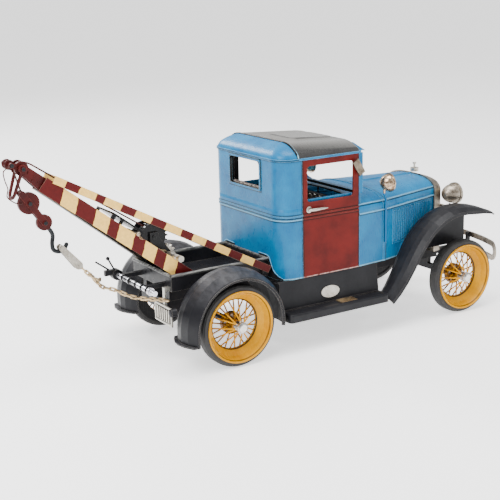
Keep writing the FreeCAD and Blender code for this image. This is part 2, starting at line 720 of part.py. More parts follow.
def archSide(halfWidth, top, height):
    # How far out the crown reaches at a height above the shoulder.
    if float(height) <= float(s.hoodShoulder):
        return float(halfWidth)
    rise = float(height - s.hoodShoulder) / float(top - s.hoodShoulder)
    angle = math.asin(min(1, rise ** (1 / float(s.archShare))))
    return float(halfWidth) * math.cos(angle) ** float(s.archShare)


def beads(x0, wide0, x1, wide1):
    # Rolled beads along both sides of a tapering sheet.
    rods = []
    for way in sides.values():
        for height in (s.beadUpperZ, s.beadLowerZ):
            p = point(x0, way * archSide(wide0, s.hoodTop, height), height)
            q = point(x1, way * archSide(wide1, s.hoodTop, height), height)
            rods.append(Part.makeCylinder(float(s.beadRadius), (q - p).Length, p, q - p))
    return rods


def crest(x0, x1):
    # The hinge rod along the middle of the top.
    return Part.makeCylinder(float(s.beadRadius), float(x1 - x0), point(x0, 0, s.hoodTop),
                             Vector(1, 0, 0))


cowlEnds = ((doorFrontX, s.cabHalf, s.hoodTop), (seamX, cowlHalf, s.hoodTop))
cowlSolid = archLoft(cowlEnds, s.hoodBottom)
cowl = archShell(cowlEnds, s.hoodWall)
bandEnds = ((seamX - s.bandWide, cowlHalf + s.bandOut, s.hoodTop + s.bandOut),
            (seamX, cowlHalf + s.bandOut, s.hoodTop + s.bandOut))
band = archShell(bandEnds, s.hoodWall)
shapeNode("cowl", cowl.fuse([band] + beads(doorFrontX, s.cabHalf, seamX, cowlHalf)))

# Hood: tapering sheet with hinge rod, beads, and a bordered louvre panel on each side.
hood = archShell(((seamX, cowlHalf, s.hoodTop), (hoodFrontX, hoodFrontHalf, s.hoodTop)),
                 s.hoodWall)
slope = s.hoodTaper / (hoodFrontX - seamX)
panelRearX = seamX + s.panelRear
panelFrontX = hoodFrontX - s.panelFront
louvreCount = int(s.louvreCount)
pitch = (panelFrontX - panelRearX - 2 * s.panelBorder) / louvreCount


def sideY(x):
    return cowlHalf - slope * (x - seamX)


raised = [crest(seamX, hoodFrontX)] + beads(seamX, cowlHalf, hoodFrontX, hoodFrontHalf)
for way in sides.values():
    for i in range(louvreCount + 1):
        x = panelRearX + s.panelBorder + pitch * i
        foot = point(x, way * sideY(x), s.louvreBottom)
        raised.append(Part.makeCylinder(float(s.louvreRadius),
                                        float(s.louvreTop - s.louvreBottom), foot))
    for height in (s.louvreBottom - s.panelBorder, s.louvreTop + s.panelBorder / 2):
        p = point(panelRearX, way * sideY(panelRearX), height)
        q = point(panelFrontX, way * sideY(panelFrontX), height)
        raised.append(Part.makeCylinder(float(s.borderRadius), (q - p).Length, p, q - p))
    for x in (panelRearX, panelFrontX):
        foot = point(x, way * sideY(x), s.louvreBottom - s.panelBorder)
        raised.append(Part.makeCylinder(float(s.borderRadius), float(
            s.louvreTop - s.louvreBottom + s.panelBorder * 3 / 2), foot))
shapeNode("hood", hood.fuse(raised))

# Radiator: bright shell round a finned core, with the filler cap on top.
shellRearX = hoodFrontX
shellFrontX = hoodFrontX + s.shellDepth
shellOuter = archLoft(((shellRearX, hoodFrontHalf + s.shellOver, s.hoodTop + s.shellOver),
                       (shellFrontX, hoodFrontHalf - s.shellOver, s.hoodTop - s.shellOver)),
                      s.shellBottom)
openHalf = hoodFrontHalf - s.shellWall
openTop = s.hoodTop - s.shellWall
openBottom = s.shellBottom + s.shellWall
window = archLoft(((shellRearX - s.cutOver, openHalf, openTop),
                   (shellFrontX + s.cutOver, openHalf, openTop)), openBottom)
shapeNode("radiator_shell", shellOuter.cut(window))
coreRearX = shellRearX + s.sheetWall
coreFrontX = coreRearX + s.coreDepth
core = archLoft(((coreRearX, openHalf, openTop), (coreFrontX, openHalf, openTop)), openBottom)
fins = []
finCount = int(s.finCount)
for i in range(finCount):
    y = -openHalf + 2 * openHalf * (i + 1) / (finCount + 1)
    high = float(s.hoodShoulder)
    if archSide(openHalf, openTop, s.hoodShoulder + s.capHeight) > abs(float(y)):
        high = float(s.hoodShoulder + s.capHeight)
    fins.append(Part.makeCylinder(float(s.finRadius), high - float(openBottom),
                                  point(coreFrontX, y, openBottom)))
shapeNode("radiator_core", core.fuse(fins))
body = newBody("radiator_cap")
sk = sketch(body, "XZ_Plane")
neck = s.knobRadius * s.knobNeckShare
rise = s.capHeight + s.knobHeight
polygon(sk, [(0, 0), (s.capRadius, 0), (s.capRadius, s.capHeight), (neck, s.capHeight),
             (neck, rise - neck * 2), (s.knobRadius, rise - neck), (s.knobRadius, rise),
             (0, rise)])
revolve(body, sk, "Z_Axis")
keep("radiator_cap", body, spot(hoodFrontX + s.shellDepth / 2, 0, s.hoodTop + s.shellOver))

# Roof: a crowned sheet that falls to the front, with a drip bead and a black panel let in.
roofFrontX = doorFrontX + s.roofFrontOver
roofInsetShares = (0, 0, 0.05, 0.14, 0.32, 0.6, 1)
roofRiseShares = (0, 0.16, 0.38, 0.56, 0.81, 0.93, 1)


def planWire(step, wall, height, fall=0):
    # The cab's plan with round rear corners and tighter front ones, tilted by its fall.
    rear = max(float(s.cabCorner - step / 2 - wall / 2), float(s.roofFrontCorner))
    front = float(s.roofFrontCorner)
    x0, x1 = float(s.cabRearX + step + wall), float(roofFrontX - step * s.roofLeanShare - wall)
    side = float(s.cabHalf - step - wall)
    corners = [(x0, -side, rear), (x1, -side, front), (x1, side, front), (x0, side, rear)]
    inward = [(1, 1), (-1, 1), (-1, -1), (1, -1)]
    diagonal = 1 - math.sqrt(2) / 2

    def tilted(x, y):
        return point(x, y, height - fall * (x - s.cabRearX) / (roofFrontX - s.cabRearX))

    arcs = []
    for i, (x, y, r) in enumerate(corners):
        a, b = inward[i]
        onX = tilted(x + a * r, y)
        onY = tilted(x, y + b * r)
        mid = tilted(x + a * r * diagonal, y + b * r * diagonal)
        arcs.append((onY, mid, onX) if i % 2 == 0 else (onX, mid, onY))
    edges = []
    for i, (p, mid, q) in enumerate(arcs):
        edges.append(Part.Arc(p, mid, q).toShape())
        edges.append(Part.LineSegment(q, arcs[(i + 1) % len(arcs)][0]).toShape())
    return Part.Wire(edges)


def roofLoft(wall):
    wires = []
    for share, rise in zip(roofInsetShares, roofRiseShares):
        wires.append(planWire(s.roofTopInset * share, wall,
                              s.cabTop + s.roofHeight * rise - wall, s.roofFall * rise))
    return Part.makeLoft(wires, True, False)


flush = lift(0)
roofOuter = roofLoft(flush)
roofInner = roofLoft(s.cabWall)
dripFace = Part.Face(planWire(flush, -s.dripOut, s.cabTop))
drip = dripFace.extrude(point(0, 0, s.dripTall))
under = Part.Face(planWire(flush, s.cabWall, s.cabTop - s.cutOver)).extrude(
    point(0, 0, s.cutOver + s.dripTall / 2))
roofShell = roofOuter.fuse(drip).cut(roofInner).cut(under).removeSplitter()
panelBlock = Part.makeBox(float(roofFrontX - s.cabRearX - s.panelSetback - s.panelRim),
                          float(s.cabHalf * 4), float(s.roofHeight * 2),
                          point(s.cabRearX + s.panelSetback, -2 * s.cabHalf,
                                s.cabTop + s.dripTall))
shapeNode("roof", roofShell.cut(panelBlock))
shapeNode("roof_panel", roofShell.common(panelBlock))

# Windscreen frame between the front posts, with the visor above it.
body = newBody("windscreen_frame")
sk = sketch(body, "YZ_Plane")
post = s.cabHalf - s.fitGap
sill = s.pillarWidth / 2
roundedRect(sk, -post, post, s.screenBottom, s.cabTop, s.sideGlassCorner, (0, 1))
roundedRect(sk, s.pillarWidth - post, post - s.pillarWidth, s.screenBottom + sill,
            s.cabTop - sill * 2, s.sideGlassCorner)
pad(body, sk, s.pillarWidth * 4 / 5)
for way in sides.values():
    sk = sketch(body, "XZ_Plane", -way * (post - s.pillarWidth))
    polygon(sk, [(0, s.screenBottom), (s.pillarWidth * 4 / 5, s.screenBottom),
                 (s.pillarWidth * 4 / 5, s.hoodShoulder), (0, s.hoodShoulder)])
    pad(body, sk, s.pillarWidth - s.hoodWall * 2, reverse=(way > 0))
body.Placement = Placement(point(doorFrontX, 0, 0), Rotation())
keep("windscreen_frame", cut(body, piece(cowlSolid)))
body = newBody("visor")
sk = sketch(body, "XZ_Plane")
polygon(sk, [(0, 0), (s.visorLength, -s.visorDrop),
             (s.visorLength - s.visorThick, -s.visorDrop), (0, -s.visorThick * 3 / 2)])
visorHalf = s.cabHalf - 2 * s.roofFrontCorner
pad(body, sk, 2 * visorHalf, midplane=True)
for way in sides.values():
    sk = sketch(body, "XZ_Plane", -way * visorHalf)
    polygon(sk, [(0, 0), (s.visorLength, -s.visorDrop), (0, s.dripTall / 2 - s.visorRise)])
    pad(body, sk, s.visorThick, reverse=(way < 0))
body.Placement = Placement(point(roofFrontX - s.visorThick, 0, s.cabTop + s.visorRise), Rotation())
keep("visor", cut(body, piece(roofOuter.fuse(drip))))

# Wind wings: small bright plates on an arm from each front post.
wings = []
for way in sides.values():
    hinge = point(doorFrontX - s.sideGlassFront / 2, way * s.cabHalf, s.wingZ)
    outer = point(doorFrontX - s.sideGlassFront / 2, way * (s.cabHalf + s.handleOut), s.wingZ)
    arm = rodBetween(s.wingArm, hinge, outer)
    tilt = Rotation(Vector(0, 1, 0), -float(s.wingTiltAngle))
    corner = outer + tilt.multVec(point(-s.wingWide / 2, -s.wingThick / 2, -s.wingTall / 2))
    plate = block(s.wingWide, s.wingThick, s.wingTall, corner, tilt)
    wings.append(fuse([arm, plate]))
keep("wind_wings", group(wings))

# Rear fenders: a crowned arc with a turned edge and a bead, ending in a straight flap.
fenders = []
fenderWide = fenderOuterY - fenderInnerY
formShares = (0, 0.14, 0.32, 0.52, 0.76)
dropShares = (1, 0.55, 0.15, 0, 0)
for side, way in sides.items():
    body = newBody("rear_fender_" + side)
    sk = sketch(body, "YZ_Plane")
    r = s.fenderRadius
    t = s.sheetWall
    lip = r - s.fenderDrop - s.fenderLip
    crown = [(fenderWide * share, r - s.fenderInnerDrop * fall)
             for share, fall in zip(formShares, dropShares)]
    crown[-1] = (crown[-1][0], r - s.fenderDrop / 4)
    below = [(a, b - t) for a, b in reversed(crown)]
    bead = s.fenderBead
    outer = [(fenderWide, r - s.fenderDrop), (fenderWide + bead, r - s.fenderDrop - bead),
             (fenderWide, r - s.fenderDrop - 2 * bead), (fenderWide, lip),
             (fenderWide - t, lip), (fenderWide - t, r - s.fenderDrop - t)]
    polygon(sk, [(way * a, b) for a, b in crown + outer + below])
    revolve(body, sk, "Y_Axis", 180.0 + s.fenderFrontAngle)
    sk = sketch(body, "YZ_Plane")
    polygon(sk, [(way * a, b) for a, b in crown + outer + below])
    pad(body, sk, s.flapLong, reverse=True)
    sk = sketch(body, "YZ_Plane", -s.flapLong)
    brow = crown + outer[:1]
    polygon(sk, [(way * a, b + s.flapLip) for a, b in brow]
            + [(way * a, b - t) for a, b in reversed(brow)])
    pad(body, sk, t)
    turn = Rotation(Vector(0, 1, 0), -90.0)
    body.Placement = Placement(point(0, way * fenderInnerY, s.tyreRadius), turn)
    fenders.append(body)
keep("rear_fenders", group(fenders))

# Running boards: a deck with a raised rim and a deep rolled edge, hollow beneath.
boards = []
boardOuter = fenderOuterY
boardInner = apronOuterY
boardFoot = s.boardTop - s.boardLip
for side, way in sides.items():
    body = newBody("running_board_" + side)
    low, high = (boardInner, boardOuter) if way > 0 else (-boardOuter, -boardInner)
    outerCorners = (2, 3) if way > 0 else (0, 1)
    sk = sketch(body, "XY_Plane", boardFoot)
    roundedRect(sk, s.boardRearX, frontFootX, low, high, s.boardCorner, outerCorners)
    pad(body, sk, s.boardLip)
    top = float(s.boardTop)
    soften(body, s.boardRound, lambda edge: abs(edge.CenterOfMass.z - top) < float(s.runGap)
           and abs(edge.CenterOfMass.y) > float(boardInner + s.boardCorner / 4))
    sk = sketch(body, "XY_Plane", s.boardTop)
    rimLow, rimHigh = low + s.boardRim / 2, high - s.boardRim
    if way < 0:
        rimLow, rimHigh = low + s.boardRim, high - s.boardRim / 2
    rect(sk, s.boardRearX + s.boardRim, frontFootX - s.boardRim, rimLow, rimHigh)
    pocket(body, sk, s.boardSink)
    sk = sketch(body, "XY_Plane", boardFoot)
    wall = s.boardRound
    rect(sk, s.boardRearX + wall, frontFootX - wall, low + wall, high - wall)
    pocket(body, sk, s.boardLip - s.boardDeck, reverse=True)
    boards.append(body)
keep("running_boards", group(boards))

# Aprons: the slanted sheets between each board and the cab's sill.
aprons = []
for side, way in sides.items():
    body = newBody("apron_" + side)
    sk = sketch(body, "YZ_Plane", s.boardRearX)
    t = s.sheetWall
    polygon(sk, [(way * apronInnerY, s.cabBottom), (way * apronInnerY, s.cabBottom - t),
                 (way * (apronOuterY - t), s.boardTop - s.boardDeck),
                 (way * apronOuterY, s.boardTop - s.boardDeck),
                 (way * (apronInnerY + t), s.cabBottom)])
    pad(body, sk, frontFootX - s.boardRearX)
    aprons.append(body)
keep("aprons", group(aprons))

# Bare oval plates on the aprons and barred step plates on the boards.
boardMidX = (s.boardRearX + frontFootX) / 2
apronLean = math.atan2(float(apronOuterY - s.sheetWall - apronInnerY),
                       float(s.cabBottom - s.boardTop + s.boardDeck))
ovals = []
steps = []
deckZ = s.boardTop - s.boardSink
stepBars = int(s.stepBarCount)
for way in sides.values():
    across = (s.cabBottom - s.plateZ) / (s.cabBottom - s.boardTop + s.boardDeck)
    y = apronInnerY + s.sheetWall + (apronOuterY - s.sheetWall - apronInnerY) * across
    face = Part.Face(Part.Wire([Part.Ellipse(Vector(), float(s.plateHalfLong),
                                             float(s.plateHalfTall)).toShape()]))
    oval = piece(face.extrude(point(0, 0, s.plateThick)))
    turn = Rotation(Vector(1, 0, 0), way * (-90 + math.degrees(apronLean)))
    oval.Placement = Placement(point(boardMidX, way * y, s.plateZ), turn)
    ovals.append(oval)
    stepX = boardMidX + s.stepAhead
    y0 = (apronOuterY + s.boardRim / 2) if way > 0 else -(apronOuterY + s.boardRim / 2) - s.stepWide
    base = block(s.stepLong, s.stepWide, s.stepThick, point(stepX - s.stepLong / 2, y0, deckZ))
    bars = [base]
    for i in range(stepBars):
        x = stepX - s.stepLong / 2 + s.stepLong * (i + 1) / (stepBars + 1)
        bars.append(rodBetween(s.stepThick / 2, point(x, y0 + s.stepThick, deckZ + s.stepThick),
                               point(x, y0 + s.stepWide - s.stepThick, deckZ + s.stepThick)))
    steps.append(fuse(bars))
keep("apron_plates", group(ovals))
keep("step_plates", group(steps))

# Front fenders: one sheet from the board up over the wheel to the tip, with a skirt.
pathShares = ((0, 0), (0.6, 0.58), (1, 1))
tipEndShare = 0.2
hemCount = 4
fenders = []
sectionShares = ((0, 0.5), (0.2, 0.12), (0.4, 0), (0.62, 0.08), (0.82, 0.35), (1, 1))
for side, way in sides.items():
    t = float(s.sheetWall)
    run = frontShoulderX - frontFootX
    climb = s.frontShoulderZ - s.frontFootZ
    path = [point(frontFootX + run * a, 0, s.frontFootZ + climb * b) for a, b in pathShares]
    crestRun = frontCrestX - frontShoulderX
    crestClimb = s.frontCrestZ - s.frontShoulderZ
    path.append(point(frontShoulderX + crestRun / 2, 0, s.frontCrestZ - crestClimb / 4))
    path.append(point(frontCrestX, 0, s.frontCrestZ))
    fall = s.frontCrestZ - s.frontTipZ
    path.append(point((frontCrestX + frontTipX) / 2, 0, s.frontCrestZ - fall / 4))
    path.append(point(frontTipX, 0, s.frontTipZ))
    curve = Part.BSplineCurve()
    curve.interpolate(path)
    sections = []
    hem = []
    stations = int(s.stationCount)
    hemStations = stations * hemCount
    first, last = curve.FirstParameter, curve.LastParameter
    for i in range(hemStations + 1):
        u = first + (last - first) * i / hemStations
        p = curve.value(u)
        tangent = curve.tangent(u)[0]
        normal = Vector(-tangent.z, 0, tangent.x)
        toTip = float(frontTipX) - p.x
        fade = min(1, max(tipEndShare, toTip / float(s.tipTaper)))
        drop = float(s.fenderDrop) * fade
        if float(s.wheelbase - s.skirtBack) < p.x < float(s.wheelbase + s.skirtOut):
            hem.append(Vector(p.x, way * float(frontInnerY), p.z)
                       - normal * (drop / 2 + t / 2))
        if i % hemCount:
            continue
        low = float(frontInnerY)
        if p.x < float(hoodFrontX):
            low = max(low, float(sideY(p.x) + s.fitGap))
        wide = float(fenderOuterY) - low - max(0, float(s.tipRound) - toTip)
        upper = [Vector(p.x, way * (low + wide * a), p.z) - normal * (drop * b)
                 for a, b in sectionShares]
        edge = upper[-1] - normal * (t + (float(s.fenderLip) - t) * fade)
        inEdge = edge - Vector(0, way * t, 0)
        lower = [q - normal * t for q in upper[:-1]]
        lower.append(upper[-1] - Vector(0, way * t, 0) - normal * t)
        ring = upper + [edge, inEdge] + list(reversed(lower))
        sections.append(Part.makePolygon(ring + [ring[0]]))
    last = hem[-1]
    low = float(s.skirtBottom)
    hem = hem + [point(last.x, last.y, low), point(hem[0].x, last.y, low), hem[0]]
    skirt = Part.Face(Part.makePolygon(hem)).extrude(Vector(0, way * t, 0))
    fenders.append(piece(Part.makeLoft(sections, True, True).fuse(skirt)))
keep("front_fenders", group(fenders))

# Bed: an open tray with rolled side rails and lugs for the braces.
body = newBody("bed")
bedFrontX = s.cabRearX - s.fitGap
sk = sketch(body, "XY_Plane", s.bedTop - s.bedDepth)
rect(sk, -s.bedRearX, bedFrontX, -bedHalf, bedHalf)
pad(body, sk, s.bedDepth)
sk = sketch(body, "XY_Plane", s.bedTop)
rect(sk, s.bedWall - s.bedRearX, bedFrontX - s.bedWall, s.bedWall - bedHalf,
     bedHalf - s.bedWall)
pocket(body, sk, s.bedDepth - s.bedWall)
for way in sides.values():
    sk = sketch(body, "YZ_Plane", -s.bedRearX)
    circle(sk, way * bedHalf, s.bedTop - s.railRadius / 2, s.railRadius)
    pad(body, sk, s.bedRearX + bedFrontX)
    sk = sketch(body, "XY_Plane", s.braceFootZ - s.braceDepth)
    near = bedHalf - s.bedWall / 2
    far = bedHalf + s.braceStand - s.braceThick * 2
    rect(sk, s.braceFootX - s.lugLong, s.braceFootX, way * near, way * far)
    pad(body, sk, s.braceDepth)
sk = sketch(body, "XZ_Plane")
circle(sk, -s.bedRearX, s.bedTop - s.railRadius / 2, s.railRadius)
pad(body, sk, 2 * bedHalf, midplane=True)
keep("bed", body)
sills = []
sillTall = s.bedTop - s.bedDepth - frameTop
for way in sides.values():
    y = inner if way > 0 else -frameHalf
    sills.append(block(s.bedRearX + s.cabRearX - s.sillWidth, s.frameWall, sillTall,
                       point(s.sillWidth / 2 - s.bedRearX, y, frameTop)))
keep("bed_sills", group(sills))


def bar(p, q, deep, thick):
    # A flat bar from p to q, upright across its depth.
    axis = q - p
    along = Vector(axis).normalize()
    side = along.cross(Vector(0, 0, 1)).normalize()
    top = side.cross(along).normalize()
    base = p - side * (thick / 2) - top * (deep / 2)
    frame = Part.makePolygon([base, base + side * thick, base + side * thick + top * deep,
                              base + top * deep, base])
    return Part.Face(frame).extrude(axis), side, top


# Boom: two deep angle legs from the bed's rear corners, two thin braces from its front.
legs = []
braces = []
legFootY = bedHalf - s.legFootIn
for way in sides.values():
    foot = point(-s.legFootX, way * legFootY, bedFloorZ)
    head = point(-s.headX, way * s.headHalf, s.headZ)
    low = foot + (foot - head).normalize() * float(s.legDepth)
    head = point(-s.headX, way * s.headHalf, s.headZ)
    leg, side, top = bar(low, head, float(s.legDepth), float(s.legThick))
    inward = side * (-way if side.y > 0 else way)
    corner = low - top * (float(s.legDepth) / 2)
    flange = Part.makePolygon([corner, corner + inward * float(s.legFlange),
                               corner + inward * float(s.legFlange) + top * float(s.legThick),
                               corner + top * float(s.legThick), corner])
    flange = Part.Face(flange).extrude(head - low)
    under = Part.makeBox(float(s.headX), float(2 * bedHalf), float(s.bedDepth),
                         point(-s.headX / 2, -bedHalf, bedFloorZ - s.bedDepth))
    legs.append(piece(leg.fuse(flange).cut(under).removeSplitter()))
    foot = point(s.braceFootX, way * (bedHalf + s.braceStand), s.braceFootZ)
    head = point(-s.braceHeadX, way * (s.headHalf + s.braceHeadOut), s.braceHeadZ)
    braces.append(piece(bar(foot, head, float(s.braceDepth), float(s.braceThick))[0]))
keep("boom_legs", group(legs))
keep("boom_braces", group(braces))


def legPoint(x, way):
    # The middle of a leg at a distance behind the rear axle.
    share = (x - s.legFootX) / (s.headX - s.legFootX)
    return point(-x, way * (legFootY + (s.headHalf - legFootY) * share),
                 bedFloorZ + (s.headZ - bedFloorZ) * share)


# Tie plate: a drilled sheet over the legs' upper edges, on a folded foot at each corner.
legAngle = math.atan2(float(s.headZ - bedFloorZ), float(s.headX - s.legFootX))
legUp = point(math.sin(legAngle), 0, math.cos(legAngle))


def onLeg(x, way, rise):
    # A place above a leg's upper edge.
    return legPoint(x, way) + legUp * float(s.legDepth / 2 + rise)


corners = []
for x, way in ((s.tieNear, 1), (s.tieNear, -1), (s.tieFar, -1), (s.tieFar, 1)):
    corners.append(onLeg(x, way, s.tieRise))
plate = Part.Face(Part.makePolygon(corners + [corners[0]])).extrude(legUp * float(s.tieThick))
for x0, x1 in ((s.tieNear, s.tieNear - s.tieFoot), (s.tieFar + s.tieFoot, s.tieFar)):
    for way in sides.values():
        p, q = onLeg(x0, way, flush), onLeg(x1, way, flush)
        fold = point(0, -way * s.tieThick, 0)
        tab = Part.Face(Part.makePolygon([p, p + fold, q + fold, q, p]))
        plate = plate.fuse(tab.extrude(legUp * float(s.tieRise + s.tieThick)))
tieHoles = int(s.tieHoleCount)
mid = (onLeg(s.tieNear, 1, s.tieRise) + onLeg(s.tieFar, 1, s.tieRise)) * (1 / 2)
for i in range(tieHoles):
    y = mid.y * (2 * (i + 1) / (tieHoles + 1) - 1)
    at = point(mid.x, y, mid.z) - legUp * float(s.cutOver)
    plate = plate.cut(Part.makeCylinder(float(s.tieHole), float(s.tieThick + 2 * s.cutOver),
                                        at, legUp))
shapeNode("tie_plate", plate.removeSplitter())

# Head: two waisted cheek plates with rounded tips, their pins and the cable roller.
headPlates = []
near = point(-s.headX, 0, s.headZ)
far = point(-headPinX, 0, headPinZ)
guide = point(-rollerX, 0, rollerZ)
headAxis = (far - near).normalize()
headUp = Vector(0, 1, 0).cross(headAxis).normalize()
headUp = headUp if headUp.z > 0 else headUp * -1


def slab(corners, y, thick):
    # A flat plate standing across Y.
    flat = [point(q.x, y, q.z) for q in corners]
    return Part.Face(Part.makePolygon(flat + [flat[0]])).extrude(point(0, thick, 0))


for way in sides.values():
    y = (s.cheekOuterY - s.cheekPlate) if way > 0 else -s.cheekOuterY
    plate = slab([near + headUp * float(s.cheekEnd), far + headUp * float(s.cheekWaist),
                  far - headUp * float(s.cheekWaist), near - headUp * float(s.cheekEnd)],
                 y, s.cheekPlate)
    ear = slab([far + headUp * float(s.rollerRadius), guide + headUp * float(s.rollerRadius),
                guide - headUp * float(s.rollerRadius), far - headUp * float(s.rollerRadius)],
               y, s.cheekPlate)
    disc = Part.makeCylinder(float(s.cheekRound), float(s.cheekPlate),
                             point(-headPinX, y, headPinZ), Vector(0, 1, 0))
    headPlates.append(piece(plate.fuse([disc, ear]).removeSplitter()))
bailPinHalf = s.bailHalf + s.bailWire * 2
headPlates.append(cylinder(s.headPin, 2 * bailPinHalf,
                           point(-headPinX, -bailPinHalf, headPinZ), alongY))
headPlates.append(cylinder(s.rollerRadius, 2 * s.rollerHalf,
                           point(-rollerX, -s.rollerHalf, rollerZ), alongY))
headPlates.append(cylinder(s.headPin, 2 * s.cheekOuterY,
                           point(-s.headX, -s.cheekOuterY, s.headZ), alongY))
keep("boom_head", fuse(headPlates))

# Bail: a bent wire loop with an eye on each end, leaning back from the head's pin.
bailFootZ = headPinZ - s.bailDrop
eyeOut = s.bailEye
bailAxis = (point(-bailFootX, 0, bailFootZ) - point(-headPinX, 0, headPinZ)).normalize()
corners = []
for way in sides.values():
    eye = point(-headPinX, way * s.bailHalf, headPinZ) + bailAxis * float(eyeOut)
    footAt = point(-bailFootX, way * s.bailFoot, bailFootZ)
    corners += [eye, footAt] if way > 0 else [footAt, eye]
bail = bentRod(corners, s.bailWire)
eyes = []
for way in sides.values():
    y = s.bailHalf - s.bailWire if way > 0 else -s.bailHalf - s.bailWire
    eyes.append(Part.makeCylinder(float(s.bailEye + s.bailWire / 2), float(2 * s.bailWire),
                                  point(-headPinX, y, headPinZ), Vector(0, 1, 0)))
hole = Part.makeCylinder(float(s.headPin + s.runGap), float(4 * s.bailHalf),
                         point(-headPinX, -2 * s.bailHalf, headPinZ), Vector(0, 1, 0))
shapeNode("bail", bail.fuse(eyes).cut(hole))

# Hook block: two discs between long straps, with a pin through each.
blockAxis = point(-s.lowerX + s.blockX, 0, s.lowerZ - s.blockZ).normalize()
upper = point(-s.blockX, 0, s.blockZ)
lowerAt = point(-s.lowerX, 0, s.lowerZ)
strapTop = upper - blockAxis * float(s.strapOver)
blockParts = []
for at, radius in ((upper, s.sheaveRadius), (lowerAt, s.lowerRadius)):
    blockParts.append(cylinder(radius, s.sheaveThick,
                               at - point(0, s.sheaveThick / 2, 0), alongY))
    pinHalf = s.sheaveThick / 2 + s.strapThick * 2
    blockParts.append(cylinder(s.pinRadius, 2 * pinHalf, at - point(0, pinHalf, 0), alongY))
strapTurn = Rotation(Vector(1, 0, 0), blockAxis)
for way in sides.values():
    y = s.sheaveThick / 2 if way > 0 else -s.sheaveThick / 2 - s.strapThick
    offset = strapTurn.multVec(point(0, 0, -s.strapHalf))
    strap = block(1, s.strapThick, 2 * s.strapHalf, strapTop + offset + point(0, y, 0), strapTurn)
    strap.Length = (lowerAt - strapTop).Length
    blockParts.append(strap)
    for at in (strapTop, lowerAt):
        blockParts.append(cylinder(s.strapHalf, s.strapThick, at + point(0, y, 0), alongY))
clevisHalf = s.sheaveThick / 2 + s.strapThick
blockParts.append(cylinder(s.pinRadius, 2 * clevisHalf, strapTop - point(0, clevisHalf, 0), alongY))
keep("hook_block", fuse(blockParts))

# Hoist cable: off the drum, up between the legs, over the head and down to the block.
drumTop = point(-s.winchX, 0, s.winchZ + s.drumCoreRadius + s.cableRadius)
route = [drumTop, point(-s.headX + s.cheekRear, 0, s.headZ + s.cableRadius),
         point(-headPinX + s.cheekRear / 2, 0, headPinZ + s.cheekRound / 2),
         point(-headPinX, 0, headPinZ + s.cheekRound - s.cableRadius),
         (far + guide) * (1 / 2) + headUp * float(s.headPin),
         (far + guide) * (1 / 2) - point(0, 0, s.cheekRound),
         strapTop + point(0, 0, s.pinRadius + s.cableRadius)]
shapeNode("hoist_cable", bentRod(route, s.cableRadius))

# Hook: round bar bent in an S under the lower disc, rounded at its tip.
hookShares = ((0, 0), (0.24, 0.28), (0.12, 0.6), (0.16, 0.9), (0.53, 1), (0.86, 0.93),
              (1, 0.74))
hookTop = lowerAt + blockAxis * float(s.lowerRadius + s.runGap)
hookLine = [hookTop + point(s.hookReach * a, 0, -s.hookTall * b) for a, b in hookShares]
tip = Part.makeSphere(float(s.hookWire), hookLine[-1])
shapeNode("hook", bentRod(hookLine, s.hookWire).fuse(tip))

# Link: two plates hung in the hook's bowl, with a pin across each end.
bowl = (hookLine[4] + hookLine[5]) * (1 / 2)
bowlUp = Vector(0, 1, 0).cross(hookLine[5] - hookLine[4]).normalize()
bowlUp = bowlUp if bowlUp.z > 0 else bowlUp * -1
linkTop = bowl + bowlUp * float(s.hookWire + s.chainWire + s.runGap)
linkFoot = linkTop + point(s.linkRun, 0, -s.linkFall)
linkAxis = (linkFoot - linkTop).normalize()
linkSide = Vector(0, 1, 0).cross(linkAxis)
linkParts = []
gapY = s.hookWire + s.fitGap
for way in sides.values():
    y = gapY if way > 0 else -gapY - s.linkThick
    plate = slab([linkTop + linkSide * float(s.linkEar), linkFoot + linkSide * float(s.linkWide),
                  linkFoot - linkSide * float(s.linkWide), linkTop - linkSide * float(s.linkEar)],
                 y, s.linkThick)
    ends = []
    for at, radius in ((linkTop, s.linkEar), (linkFoot, s.linkWide)):
        ends.append(Part.makeCylinder(float(radius), float(s.linkThick), at + point(0, y, 0),
                                      Vector(0, 1, 0)))
    linkParts.append(piece(plate.fuse(ends).removeSplitter()))
pinHalf = gapY + s.linkThick * 2
for at, radius in ((linkTop, s.chainWire), (linkFoot, s.linkPin)):
    linkParts.append(cylinder(radius, 2 * pinHalf, at - point(0, pinHalf, 0), alongY))
keep("link_plate", fuse(linkParts))


def chainLink(where, along, flat):
    # One closed link: an eight-sided ring of square bar, lying along its run.
    long = float(s.chainPitch / 2 + s.chainWire)
    wide = float(s.chainWide / 2)
    wire = float(s.chainWire)
    rings = []
    for shrink in (0, wire):
        a, b = long - shrink, wide - shrink
        bevel = b / 2
        ring = [(a, b - bevel), (a - bevel, b), (bevel - a, b), (-a, b - bevel),
                (-a, bevel - b), (bevel - a, -b), (a - bevel, -b), (a, bevel - b)]
        ring = [Vector(p, q, -wire / 2) for p, q in ring]
        rings.append(Part.Face(Part.makePolygon(ring + [ring[0]])).extrude(Vector(0, 0, wire)))
    link = rings[0].cut(rings[1])
    across = along.cross(flat).normalize()
    link.Placement = Placement(where, Rotation(along, across, along.cross(across), "XYZ"))
    return link


